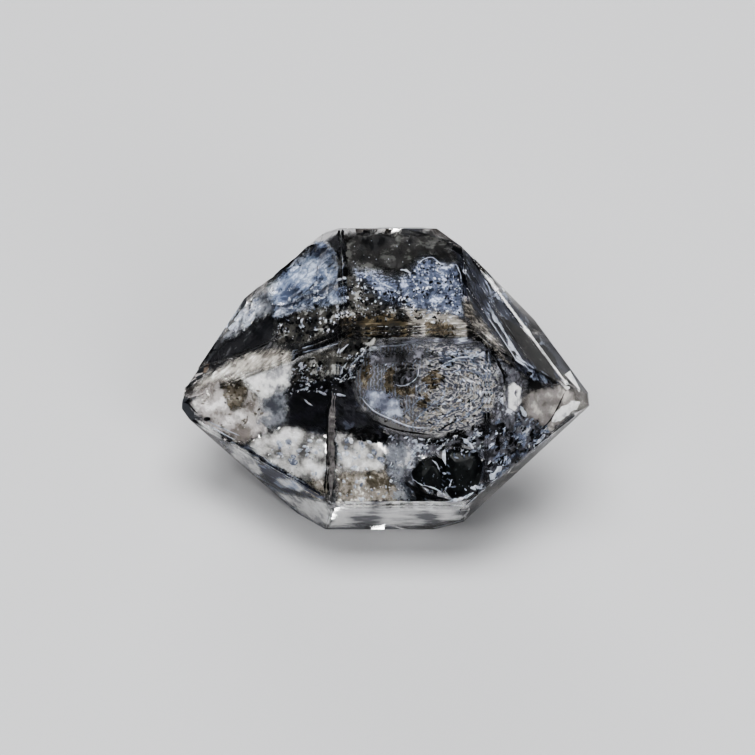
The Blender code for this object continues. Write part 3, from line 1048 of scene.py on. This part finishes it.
brushed = [
    dict(leftTop, depth=0.5, seed=9, outline=[(196, 388), (214, 372), (250, 354), (272, 350),
        (290, 352), (288, 362), (258, 370), (214, 384)]),
]
frostBlue = cloudyMaterial("frostBlue", (0.09, 0.11, 0.17), (0.3, 0.35, 0.46), (0.85, 0.9, 1.0),
    size=0.35, share=0.6)
films("leftFrost", frostBlue, "healed_veil", frost)
films("leftOlive", grayMottle, "oil_film", leftOlive)
streakedShade = cloudyMaterial("shadeStreaked", (0.006, 0.006, 0.008), (0.025, 0.025, 0.028),
    (0.16, 0.16, 0.17), size=0.4, share=0.3, turn=(0, 0, 35), stretch=(4, 1, 1))
films("leftSmoke", streakedShade, "oil_film", leftDark)
coolHaze = cloudyMaterial("hazeCool", (0.14, 0.15, 0.18), (0.45, 0.47, 0.52), (1, 1, 1), size=0.4,
    share=0.5, clear=0.5, roughness=0.5)
films("leftGray", coolHaze, "healed_veil", leftGray)
brushedPale = cloudyMaterial("brushedPale", (0.22, 0.2, 0.18), (0.6, 0.57, 0.52), (1, 1, 0.98),
    size=0.3, share=0.55, turn=(0, 0, 20), stretch=(5, 1, 1))
films("leftBrushed", brushedPale, "healed_veil", brushed)
flakes("leftGlints", veil, "healed_veil", frostBits + leftWhite)
flakes("leftSpecks", bitumen, "bitumen", leftBlack)
ribbons("leftStrokes", blueVeil, "healed_veil", leftStrokes)

# Dark middle left of the window: painted shade, parted by a pale column of painted edge light,
# with painted glints along its upper edge
darkLeft = {"anchor": (300, 400), "depth": 0.98, "thick": 0.12}
darkRight = {"anchor": (350, 400), "depth": 0.95, "thick": 0.12}
middleLeft = [
    dict(darkLeft, outline=[(285, 388), (302, 378), (336, 370), (336, 395), (336, 436), (300, 426),
        (284, 420)]),
]
middleRight = [
    dict(darkRight, outline=[(328, 374), (352, 366), (356, 392), (361, 408), (378, 420),
        (384, 433), (352, 433), (328, 434)]),
]
middleUpper = [
    dict(darkLeft, depth=0.9, seed=2, outline=[(286, 366), (304, 356), (338, 346), (338, 376),
        (300, 382), (284, 390)]),
    dict(darkRight, depth=0.9, seed=3, outline=[(326, 352), (345, 338), (376, 335), (380, 344),
        (362, 352), (352, 366), (326, 376)]),
]
glintLift, speckLift = 0.2, 0.22     # mm nearer to the face than the dark bodies
edgeBits = {"size": (0.6, 1.8), "stretch": 2.0, "angle": -30, "stray": 0.6, "tilt": 0.05,
    "lumpSize": 5, "lumpCut": 0.0}
middleWhite = [
    dict(darkLeft, **edgeBits, count=130, outline=[(284, 396), (290, 376), (302, 366), (334, 364),
        (334, 392), (300, 394)]),
    dict(darkRight, **edgeBits, count=110, outline=[(338, 366), (346, 356), (366, 346), (362, 362),
        (354, 378), (338, 384)]),
    dict(darkLeft, **edgeBits, count=80, outline=[(284, 372), (306, 360), (306, 366), (288, 380)]),
]
middleBlack = [
    dict(darkLeft, **edgeBits, count=150, outline=[(284, 396), (290, 376), (302, 360), (326, 356),
        (326, 392), (300, 394)]),
    dict(darkRight, **edgeBits, count=170, outline=[(338, 366), (346, 344), (376, 338), (362, 362),
        (354, 384), (338, 390)]),
]
# White marks that paint in glints along the edges of the dark middle
middleMarks = [
    dict(darkLeft, depth=0.6, line=[(318, 391), (322, 393), (327, 395)], wide=2.6),
    dict(darkRight, depth=0.6, line=[(336, 394), (340, 395), (346, 396)], wide=2.6),
    dict(darkLeft, depth=0.6, line=[(304, 399), (308, 403), (313, 406)], wide=1.8),
    dict(darkRight, depth=0.6, line=[(338, 354), (343, 349), (349, 344)], wide=1.8, ragged=0.6),
    dict(darkRight, depth=0.6, line=[(350, 366), (356, 360), (362, 354)], wide=2.2, ragged=0.7),
    dict(darkRight, depth=0.6, line=[(340, 376), (343, 368), (348, 362)], wide=1.8, ragged=0.7),
]
# A pale ribbon that paints in the light along the bevelled edge between two faces
column = [
    dict(darkRight, depth=0.55, line=[(332, 391), (333, 400), (332, 416), (331, 440), (331, 496)],
        wide=7, thick=0.06, ragged=0.3),
]
# A black line that paints in the shade along the same edge
columnEdge = [
    dict(darkRight, depth=0.5, line=[(328, 335), (328, 400), (327, 450), (327, 498)], wide=1.3,
        ragged=0.4),
]
clusterFill = [
    dict(darkRight, depth=0.75, grow=4, seed=4, outline=[(352, 430), (372, 426), (388, 434),
        (386, 443), (366, 440), (354, 436)]),
]
cluster = [
    dict(darkRight, depth=0.7, outline=[(352, 430), (362, 428), (374, 433), (386, 438), (384, 443),
        (368, 441), (354, 438)], count=60, size=(2, 4), stretch=1.4, tilt=0.1),
]
# Near-black films that paint in shade over the middle; the same material fills the bitumen cluster
shadeAndBitumenFill = cloudyMaterial("shadeAndBitumenDeep", (0.004, 0.004, 0.006), (0.012, 0.012, 0.018),
    (0.06, 0.065, 0.09), size=0.5, share=0.25)
films("middleSmoke", shadeAndBitumenFill, "oil_film", middleLeft, "smoky_film")
films("middleSmokeRight", shadeAndBitumenFill, "oil_film", middleRight)
films("clusterFill", shadeAndBitumenFill, "bitumen", clusterFill)
films("middleMottle", grayMottle, "oil_film", middleUpper)
flakes("middleGlints", veil, "healed_veil",
    [dict(patch, depth=patch["depth"] - glintLift) for patch in middleWhite])
flakes("middleSpecks", bitumen, "bitumen",
    [dict(patch, depth=patch["depth"] - speckLift, seed=6) for patch in middleBlack] + cluster)
ribbons("middleMarks", veil, "healed_veil", middleMarks)
paintedEdgeLight = cloudyMaterial("edgeLightPale", (0.05, 0.045, 0.045), (0.15, 0.14, 0.14),
    (0.4, 0.38, 0.37), size=0.25)
ribbons("paleColumn", paintedEdgeLight, "healed_veil", column)
ribbons("columnEdge", bitumen, "bitumen", columnEdge)

# Dark negative crystal near the lower right of the front face, and what surrounds it
hollow = {"anchor": (445, 475), "depth": 1.35}
hollowLobes = within(
    hollow,
    dict(thick=0.45, outline=[(446, 450), (462, 447), (478, 453), (483, 466), (479, 483),
        (468, 494), (452, 498), (445, 488), (443, 468)]),
    dict(thick=0.4, outline=[(411, 470), (420, 460), (434, 454), (443, 463), (447, 480),
        (444, 494), (430, 491), (415, 482)]),
)
hollowBits = [
    dict(hollow, depth=0.95, outline=[(414, 468), (436, 456), (446, 452), (476, 452), (482, 470),
        (474, 490), (450, 496), (420, 484)], count=60, size=(0.6, 1.8), stretch=2.5, angle=70,
        stray=0.7, tilt=0.08),
]
hollowLight = within(
    dict(hollow, depth=0.7),
    dict(line=[(445, 449), (444, 457), (446, 466)], wide=3.0, ragged=0.5),
    dict(line=[(432, 460), (437, 464), (440, 472)], wide=1.4, ragged=0.6),
    dict(line=[(440, 503), (452, 501), (464, 498), (474, 492)], wide=2.6, ragged=0.7),
    dict(line=[(470, 488), (482, 487), (492, 482), (498, 479)], wide=4.2, ragged=0.7),
    dict(line=[(412, 478), (420, 484), (436, 489), (446, 496)], wide=1.4, ragged=0.7),
    dict(line=[(462, 438), (468, 443), (474, 449)], wide=4.0, ragged=0.6),
)
hollowDark = within(
    hollow,
    dict(depth=0.8, line=[(404, 481), (414, 489), (430, 497), (448, 501), (458, 499)], wide=5,
        thick=0.12),
    dict(depth=0.65, line=[(472, 491), (480, 493), (487, 496)], wide=3.6),
)
bridgeZone = {"anchor": (430, 440), "depth": 1.0, "thick": 0.1}
underWindow = [
    dict(bridgeZone, outline=[(374, 428), (400, 434), (434, 438), (462, 434), (486, 420),
        (484, 448), (462, 444), (438, 452), (416, 460), (408, 472), (398, 486), (384, 484),
        (386, 452)]),
]
underBits = [
    dict(bridgeZone, depth=0.8, outline=[(388, 436), (440, 440), (484, 424), (484, 452),
        (440, 452), (412, 462), (396, 484), (386, 470)], count=190, size=(0.7, 2.2), stretch=2.4,
        angle=-35, stray=0.5, tilt=0.05, lumpSize=6, lumpCut=-0.05),
]
underBlack = [
    dict(bridgeZone, depth=0.78, outline=[(420, 440), (486, 424), (484, 452), (440, 450)],
        count=130, size=(1.0, 2.4), stretch=2.4, angle=-35, stray=0.6, tilt=0.05, lumpSize=6,
        lumpCut=0.05, seed=2),
]
hollowStone = cloudyMaterial("hollowDark", (0.004, 0.005, 0.005), (0.012, 0.014, 0.014),
    (0.07, 0.08, 0.085), size=0.35, share=0.4, roughness=0.25)
lumps("darkHollow", hollowStone, "bitumen", hollowLobes, "dark_hollow")
ribbons("hollowShade", bitumen, "bitumen", hollowDark)
flakes("hollowBits", blueVeil, "healed_veil", hollowBits)
ribbons("hollowGlints", veil, "healed_veil", hollowLight)
besideHollow = [
    dict(bridgeZone, depth=0.8, grow=6, outline=[(386, 446), (402, 442), (412, 454), (404, 470),
        (400, 486), (410, 502), (386, 502)]),
]
films("besideHollow", coolHaze, "healed_veil", besideHollow)
coolMottle = cloudyMaterial("mottleCool", (0.03, 0.03, 0.035), (0.17, 0.17, 0.195),
    (0.65, 0.67, 0.73), size=0.3, share=0.4)
films("underWindow", coolMottle, "healed_veil", underWindow)
flakes("underGlints", veil, "healed_veil", underBits)
flakes("underSpecks", bitumen, "bitumen", underBlack)

# Larger grains of bitumen: picture place, width and height, and depth in mm
grains = [
    (536, 385, 15, 10, 0.2), (529, 374, 8, 6, 0.2), (359, 434, 10, 6, 0.6), (350, 431, 5, 4, 0.6),
    (366, 436, 6, 4, 0.6), (207, 419, 8, 5, 0.4), (470, 336, 8, 4, 0.4), (331, 487, 9, 13, 0.8),
    (300, 350, 6, 4, 0.5), (345, 388, 5, 4, 0.6), (316, 306, 5, 4, 0.5), (298, 322, 6, 5, 0.5),
    (372, 300, 7, 5, 0.6), (404, 302, 5, 4, 0.5), (282, 354, 5, 3, 0.4),
]
grainShape = {
    "corners": (6, 8), "turn": 0.4, "reach": (0.8, 1.1),
    "flatness": 0.03,            # half the thickness in mm for each pixel of width
    "sunk": 0.1,                 # mm added to each depth
}


def grain(s, x, y, wide, high, deep):
    corners = rng.randint(*s["corners"])
    turns = [2 * pi * k / corners + s["turn"] for k in range(corners)]
    outline = [(x + wide / 2 * cos(turn) * rng.uniform(*s["reach"]),
                y + high / 2 * sin(turn) * rng.uniform(*s["reach"])) for turn in turns]
    return {"anchor": (x, y), "depth": deep + s["sunk"], "outline": outline,
            "thick": min(wide, high) * s["flatness"]}


# Each grain is drawn just before it is made, so these are handed over one at a time
lumps("bitumenGrains", bitumen, "bitumen", (grain(grainShape, *values) for values in grains))

# Left point: beige and milky, with a white wedge, a brown stain and double lines
leftPoint = {"anchor": (240, 400), "depth": 0.7, "thick": 0.08}
tipBeige = [
    dict(leftPoint, outline=[(190, 398), (204, 386), (232, 374), (250, 374), (268, 396),
        (266, 430), (244, 444), (206, 428)]),
]
tipWhite = [
    dict(leftPoint, depth=0.6, seed=2, outline=[(243, 377), (270, 369), (292, 363), (290, 384),
        (276, 392), (262, 402), (250, 388)]),
]
tipGray = [
    dict(leftPoint, depth=0.65, seed=3, outline=[(262, 398), (286, 384), (286, 422), (270, 428),
        (258, 424)]),
]
tipStain = [
    dict(leftPoint, depth=0.5, outline=[(222, 384), (240, 377), (248, 388), (246, 408), (232, 412),
        (224, 402)], count=45, size=(0.5, 1.8), tilt=0.04, lumpSize=6, lumpCut=-0.05),
]
tipBits = [
    dict(leftPoint, depth=0.5, outline=[(194, 400), (212, 386), (262, 374), (262, 420), (240, 440),
        (208, 426)], count=110, size=(0.6, 2.2), stretch=1.8, angle=-30, stray=0.8, tilt=0.04,
        lumpSize=8, lumpCut=0.05),
]
tipLines = within(
    dict(leftPoint, depth=0.4),
    dict(line=[(208, 425), (220, 432), (235, 440)], wide=1.4),
    dict(line=[(206, 420), (222, 428), (240, 436)], wide=1.2),
    dict(line=[(190, 392), (206, 384), (240, 374)], wide=1.6),
)
tipDark = [dict(leftPoint, depth=0.35, line=[(187, 401), (191, 407), (198, 414)], wide=1.6)]
warmHaze = cloudyMaterial("hazeWarm", (0.3, 0.27, 0.25), (0.62, 0.59, 0.58), (1, 0.98, 0.97),
    size=0.5, share=0.55)
films("tipHaze", warmHaze, "healed_veil", tipBeige)
# White haze, also used to paint the reflection along the right rim
whiteHazeAndReflection = cloudyMaterial("hazeWhiteAndReflection", (0.45, 0.45, 0.47), (0.85, 0.85, 0.84), (1, 1, 1),
    size=0.5, share=0.7)
films("tipWedge", whiteHazeAndReflection, "healed_veil", tipWhite)
films("tipGray", coolHaze, "healed_veil", tipGray)
stainFilm = [
    dict(leftPoint, depth=0.55, grow=7, seed=5, outline=[(226, 386), (240, 380), (247, 390),
        (244, 406), (234, 410), (227, 402)]),
]
stainBrown = cloudyMaterial("stainBrown", (0.06, 0.05, 0.035), (0.16, 0.14, 0.11),
    (0.4, 0.37, 0.32), size=0.4, share=0.4)
films("tipStainFilm", stainBrown, "oil_film", stainFilm)
flakes("tipStain", olive, "oil_film", tipStain)
flakes("tipBits", beige, "healed_veil", tipBits)
ribbons("tipLines", veil, "healed_veil", tipLines)
ribbons("tipShade", bitumen, "bitumen", tipDark)

# Bright zone of the lower left: milky white films that paint in light reflected inside the
# crystal, beige below them that paints light too, and streaks along the edge
lowLeft = {"anchor": (300, 450), "depth": 0.9, "thick": 0.12, "patchy": 1.0}
lowRight = {"anchor": (350, 450), "depth": 0.9, "thick": 0.12, "patchy": 1.0}
# White films that paint in light reflected inside the crystal
milk = [
    dict(lowLeft, outline=[(248, 446), (262, 436), (284, 426), (300, 430), (326, 436), (325, 462),
        (326, 480), (304, 482), (276, 470), (258, 460)]),
    dict(lowRight, seed=2, outline=[(338, 434), (352, 434), (376, 440), (386, 450), (386, 472),
        (338, 474)]),
]
# Beige films that paint in light reflected from the lower faces
lowBeige = [
    dict(lowRight, depth=0.8, seed=3, outline=[(338, 472), (386, 470), (396, 486), (404, 502),
        (338, 502)]),
    dict(lowLeft, depth=0.8, seed=4, outline=[(300, 482), (325, 478), (326, 498), (312, 500)]),
]
# White flakes that paint in the same reflected light
milkBits = [
    dict(lowLeft, depth=0.7, outline=[(256, 446), (284, 430), (325, 438), (325, 476), (290, 474)],
        count=60, size=(1, 4), tilt=0.06, lumpSize=9, lumpCut=0.05),
    dict(lowRight, depth=0.7, outline=[(338, 436), (384, 444), (384, 470), (338, 470)], count=40,
        size=(1, 4), tilt=0.06, lumpSize=9, lumpCut=0.05),
    dict(lowRight, depth=0.6, outline=[(338, 478), (400, 476), (410, 500), (338, 500)], count=70,
        size=(0.6, 2.4), tilt=0.05, lumpSize=6, lumpCut=0.05),
]
edgeZone = {"anchor": (270, 478), "depth": 0.5, "thick": 0.08}
edgeStreaks = [
    dict(edgeZone, outline=[(222, 440), (248, 446), (262, 462), (300, 484), (326, 502), (304, 516),
        (270, 488), (240, 460)]),
]
edgeLines = within(
    dict(edgeZone, depth=0.35),
    dict(line=[(226, 447), (238, 449), (250, 462)], wide=5.0, ragged=0.4),
    dict(line=[(258, 466), (276, 482), (300, 498)], wide=2.4),
    dict(line=[(283, 492), (294, 504), (303, 515)], wide=4.2, ragged=0.4),
    dict(line=[(262, 456), (284, 474), (304, 486)], wide=1.6),
)
edgeDark = within(
    edgeZone,
    dict(depth=0.38, line=[(258, 460), (276, 476), (302, 492)], wide=3.2),
    dict(depth=0.35, line=[(300, 484), (314, 493), (328, 501)], wide=3.0),
)
paintedLightMilk = cloudyMaterial("paintedLightWhite", (0.2, 0.195, 0.19), (0.64, 0.63, 0.61), (1, 1, 1),
    size=0.9, share=0.8)
films("lowerMilk", paintedLightMilk, "healed_veil", milk)
paintedLightBeige = cloudyMaterial("beigeLightMottle", (0.1, 0.085, 0.06), (0.36, 0.33, 0.29),
    (0.95, 0.93, 0.88), size=0.3, share=0.45)
films("lowerBeige", paintedLightBeige, "healed_veil", lowBeige)
flakes("milkBits", veil, "healed_veil", milkBits)
navyStreaks = cloudyMaterial("streaksNavy", (0.015, 0.017, 0.03), (0.3, 0.33, 0.42),
    (0.95, 0.97, 1.0), size=0.35, share=0.65, turn=(0, 0, -38), stretch=(5, 1, 1))
films("edgeStreaks", navyStreaks, "healed_veil", edgeStreaks)
lowEdge = {"anchor": (285, 492), "thick": 0.05, "grow": 3}
edgeWhite = within(
    dict(lowEdge, depth=0.25),
    dict(outline=[(226, 445), (240, 447), (256, 462), (262, 474), (252, 474), (238, 462)]),
    dict(seed=2, outline=[(276, 492), (300, 497), (327, 503), (330, 524), (316, 523), (296, 508)]),
    dict(seed=3, outline=[(196, 418), (206, 422), (222, 436), (220, 440), (206, 430)]),
)
edgeNavy = [
    dict(lowEdge, depth=0.28, outline=[(256, 463), (270, 467), (300, 481), (326, 498), (312, 498),
        (286, 492), (266, 481)]),
]
edgeBlue = [
    dict(lowEdge, depth=0.18, outline=[(277, 479), (294, 480), (304, 489), (300, 491),
        (284, 487)]),
]
films("edgeWhite", whiteHazeAndReflection, "healed_veil", edgeWhite)
navyLens = cloudyMaterial("lensNavy", (0.008, 0.01, 0.025), (0.035, 0.04, 0.08), (0.26, 0.3, 0.42),
    size=0.4, share=0.35, turn=(0, 0, -38), stretch=(3, 1, 1))
films("edgeNavy", navyLens, "healed_veil", edgeNavy)
lightBlue = cloudyMaterial("hazeLightBlue", (0.3, 0.35, 0.5), (0.62, 0.68, 0.82), (1, 1, 1),
    size=0.4, share=0.6)
films("edgeBlue", lightBlue, "healed_veil", edgeBlue)
ribbons("edgeLines", veil, "healed_veil", edgeLines)
ribbons("edgeShades", bitumen, "bitumen", edgeDark)

# Narrow bottom faces: white and grey strips that paint in the light these faces reflect
bottomStrip = [
    dict(anchor=(400, 512), depth=0.4, thick=0.06, outline=[(338, 505), (400, 504), (450, 504),
        (476, 502), (460, 518), (436, 524), (330, 526)]),
    dict(anchor=(315, 512), depth=0.3, thick=0.06, outline=[(304, 504), (334, 505), (324, 525),
        (304, 517)]),
]
paintedLightStrip = cloudyMaterial("paintedLightStrip", (0.2, 0.2, 0.22), (0.72, 0.72, 0.73), (1, 1, 1),
    size=0.5, share=0.75, stretch=(3.5, 1, 1))
films("bottomStrip", paintedLightStrip, "healed_veil", bottomStrip)

# Right-hand faces: chips and streaks, a smooth beige point, a dark sliver of painted shade
# and a bright rim that paints in the reflection of a light in narrow faces
rightZone = {"anchor": (515, 440), "depth": 0.7, "thick": 0.1, "wave": 0.2, "waveSize": 1}
chips = within(
    rightZone,
    dict(anchor=(492, 440), depth=0.6, seed=5, outline=[(498, 352), (514, 366), (522, 384),
        (520, 410), (512, 436), (498, 446), (494, 410), (502, 384)]),
    dict(anchor=(515, 400), depth=0.5, seed=6, outline=[(498, 352), (514, 362), (526, 380),
        (520, 410), (512, 430), (500, 440), (500, 400)]),
    dict(outline=[(486, 424), (506, 404), (524, 412), (540, 420), (552, 434), (530, 456),
        (500, 480), (486, 486), (484, 450)]),
)
rightTip = [
    dict(rightZone, depth=0.6, seed=2, outline=[(508, 402), (530, 390), (552, 384), (574, 390),
        (582, 402), (566, 420), (546, 432), (524, 414)]),
]
chipWhite = [
    dict(rightZone, depth=0.5, outline=[(488, 426), (508, 406), (550, 430), (530, 454), (500, 478),
        (488, 480)], count=210, size=(0.8, 2.8), stretch=2.4, angle=-50, stray=0.4, tilt=0.08,
        lumpSize=7, lumpCut=0.0),
]
chipBlack = [
    dict(rightZone, depth=0.48, outline=[(486, 424), (508, 406), (548, 430), (530, 454),
        (488, 480)], count=110, size=(0.9, 2.8), stretch=2.4, angle=-55, stray=0.4, tilt=0.08,
        lumpSize=7, lumpCut=0.05, seed=4),
]
rightMarks = within(
    rightZone,
    dict(depth=0.4, line=[(506, 408), (510, 396), (516, 386)], wide=13, ragged=0.4, thick=0.1),
    dict(depth=0.4, line=[(520, 406), (523, 411), (526, 417)], wide=4.2),
    dict(depth=0.35, line=[(536, 444), (541, 439), (545, 434)], wide=3.6),
    dict(depth=0.4, line=[(490, 480), (496, 472), (502, 466)], wide=5, ragged=0.5),
)
rightDark = within(
    rightZone,
    dict(depth=0.35, line=[(540, 430), (552, 418), (565, 392)], wide=1.2),
    dict(depth=0.4, line=[(492, 352), (500, 366), (505, 380), (503, 398)], wide=2.4, ragged=0.6),
)
rightTop = {"anchor": (500, 310), "depth": 0.5, "thick": 0.08}
streakBand = within(
    rightTop,
    dict(depth=0.6, outline=[(462, 262), (482, 266), (504, 294), (528, 326), (550, 356),
        (568, 384), (552, 386), (532, 378), (516, 366), (500, 348), (486, 336), (468, 322),
        (463, 300)]),
    dict(anchor=(515, 345), depth=0.5, seed=2, outline=[(496, 330), (516, 344), (530, 362),
        (540, 380), (524, 382), (508, 366)]),
)
beigeStreak = [
    dict(rightTop, depth=0.5, seed=3, outline=[(464, 300), (474, 312), (492, 334), (510, 358),
        (520, 378), (512, 376), (498, 352), (484, 334), (466, 316)]),
]
rightStrokes = within(
    dict(rightTop, depth=0.35),
    dict(line=[(463, 268), (478, 290), (492, 312), (504, 332), (515, 350), (530, 372)], wide=2.2,
        ragged=0.5),
    dict(line=[(470, 278), (490, 308), (508, 338), (520, 356)], wide=1.4, ragged=0.5),
    dict(line=[(492, 314), (495, 319), (497, 323)], wide=3.6),
    dict(line=[(508, 342), (511, 347), (514, 351)], wide=3.6),
    dict(line=[(516, 355), (519, 360), (521, 364)], wide=3.4),
)
# Two dark ribbons that paint in the shade beside the bright rim
sliver = within(
    dict(rightTop, ragged=0.1),
    dict(anchor=(520, 345), depth=0.3, line=[(500, 318), (514, 331), (528, 346), (542, 363),
        (556, 384)], wide=14),
    dict(anchor=(535, 355), depth=0.25, line=[(512, 329), (528, 346), (543, 364), (556, 382)],
        wide=12),
)
# White ribbons that paint in the reflection of a light in the narrow faces along the right rim and
# at the point
reflectionRibbons = [
    dict(rightTop, anchor=(540, 350), depth=0.3, line=[(484, 276), (500, 297), (520, 323),
        (538, 347), (556, 371), (572, 394)], wide=15, ragged=0.08, thick=0.08),
    dict(rightTop, anchor=(505, 300), depth=0.2, line=[(480, 270), (496, 290), (514, 314),
        (530, 336)], wide=8, ragged=0.08, thick=0.06),
    dict(rightTop, anchor=(552, 352), depth=0.2, line=[(502, 288), (522, 311), (542, 337),
        (562, 365), (580, 390)], wide=9, ragged=0.08, thick=0.05),
    dict(rightZone, anchor=(560, 410), depth=0.3, line=[(580, 402), (566, 410), (552, 422)],
        wide=10, ragged=0.2, thick=0.08),
]
thinEdge = [
    dict(rightZone, anchor=(512, 400), depth=0.26, thick=0.03, grow=3, seed=8, wave=0,
        outline=[(506, 352), (512, 356), (516, 370), (517, 392), (516, 412), (513, 430),
        (508, 440), (505, 420), (505, 380)]),
]
films("rightChips", coolMottle, "healed_veil", chips + thinEdge)
smoothBeige = cloudyMaterial("beigeSmooth", (0.14, 0.13, 0.12), (0.3, 0.28, 0.27),
    (0.62, 0.59, 0.56), size=0.9, share=0.5)
films("rightPoint", smoothBeige, "healed_veil", rightTip)
brightSpot = within(
    dict(rightZone, grow=2),
    dict(anchor=(515, 398), depth=0.17, thick=0.05, outline=[(508, 386), (514, 382), (521, 388),
        (521, 402), (515, 411), (508, 408)]),
    dict(anchor=(500, 400), depth=0.3, outline=[(504, 386), (514, 382), (519, 390), (517, 402),
        (510, 410), (504, 406)]),
)
films("brightSpot", whiteHazeAndReflection, "healed_veil", brightSpot)
flakes("chipGlints", blueVeil, "healed_veil", chipWhite)
flakes("chipSparks", veil, "healed_veil",
    [dict(patch, count=45, size=(0.5, 1.8), depth=0.45) for patch in chipWhite])
flakes("chipSpecks", bitumen, "bitumen", chipBlack)
ribbons("rightMarks", veil, "healed_veil", rightMarks)
ribbons("rightShades", bitumen, "bitumen", rightDark)
blueStreaks = cloudyMaterial("streaksBlue", (0.006, 0.007, 0.012), (0.045, 0.05, 0.075),
    (0.45, 0.5, 0.62), size=0.3, share=0.4, turn=(0, 0, -52), stretch=(6, 1, 1))
cornerFill = within(
    dict(rightTop, outline=[(470, 256), (484, 266), (490, 290), (489, 314), (478, 302),
        (470, 280)]),
    dict(anchor=(481, 285), depth=0.4),
    dict(anchor=(483, 280), depth=0.16, thick=0.03, seed=2),
)
films("rightStreaks", blueStreaks, "healed_veil", streakBand + cornerFill)
films("rightBeige", beigeBand, "healed_veil", beigeStreak)
ribbons("rightStrokes", veil, "healed_veil", rightStrokes)
ribbons("darkSliver", paintedShadeFilm, "oil_film", sliver)
ribbons("brightRim", whiteHazeAndReflection, "healed_veil", reflectionRibbons)

# Studio: pale floor, big soft lights around a dim room
studio = {
    "floorColor": (0.27, 0.27, 0.274, 1),
    "floorRoughness": 0.85,
    "floorSize": 3.0,
    "airGap": 0.03,              # mm of air left under the resting face
    "world": (0.07, 0.075, 0.085, 1),
    "centre": (0, 0, 6),         # mm, what the lights point at
    # azimuth (0 behind, 90 to the right), elevation, distance, width, height, radiance
    "lights": {
        "topSoft": (0.0, 80.0, 0.36, 0.30, 0.26, 11.0),
        "backSoft": (-6.0, 15.0, 0.42, 0.26, 0.17, 7.5),
        "frontRightSoft": (147.0, 24.0, 0.38, 0.15, 0.26, 10.0),
        "frontLeftSoft": (-152.0, 50.0, 0.38, 0.16, 0.20, 9.0),
    },
    "look": "AgX - High Contrast",
    "bounces": 32,
}


def makeLight(name, s, azimuth, elevation, far, wide, high, radiance):
    a, e = radians(azimuth), radians(elevation)
    away = Vector((sin(a) * cos(e), cos(a) * cos(e), sin(e)))
    data = bpy.data.lights.new(name, "AREA")
    data.shape, data.size, data.size_y = "RECTANGLE", wide, high
    data.energy = radiance * pi * wide * high
    lamp = bpy.data.objects.new(name, data)
    scene.collection.objects.link(lamp)
    lamp.location = Vector(s["centre"]) * mm + away * far
    lamp.rotation_euler = (-away).to_track_quat("-Z", "Y").to_euler()


def makeStudio(s):
    bpy.ops.mesh.primitive_plane_add(size=s["floorSize"])
    floor = bpy.context.object
    floor.name = "floor"
    floor.location.z = -s["airGap"] * mm
    paper, _ = newMaterial("floorPaper", {"Base Color": s["floorColor"],
                                          "Roughness": s["floorRoughness"]})
    floor.data.materials.append(paper)
    world = bpy.data.worlds.new("studio")
    scene.world = world
    world.use_nodes = True
    world.node_tree.nodes["Background"].inputs["Color"].default_value = s["world"]
    for name, light in s["lights"].items():
        makeLight(name, s, *light)
    scene.view_settings.look = s["look"]
    scene.cycles.max_bounces = s["bounces"]
    scene.cycles.glossy_bounces = s["bounces"]
    scene.cycles.transmission_bounces = s["bounces"]


makeStudio(studio)
print("studio made")
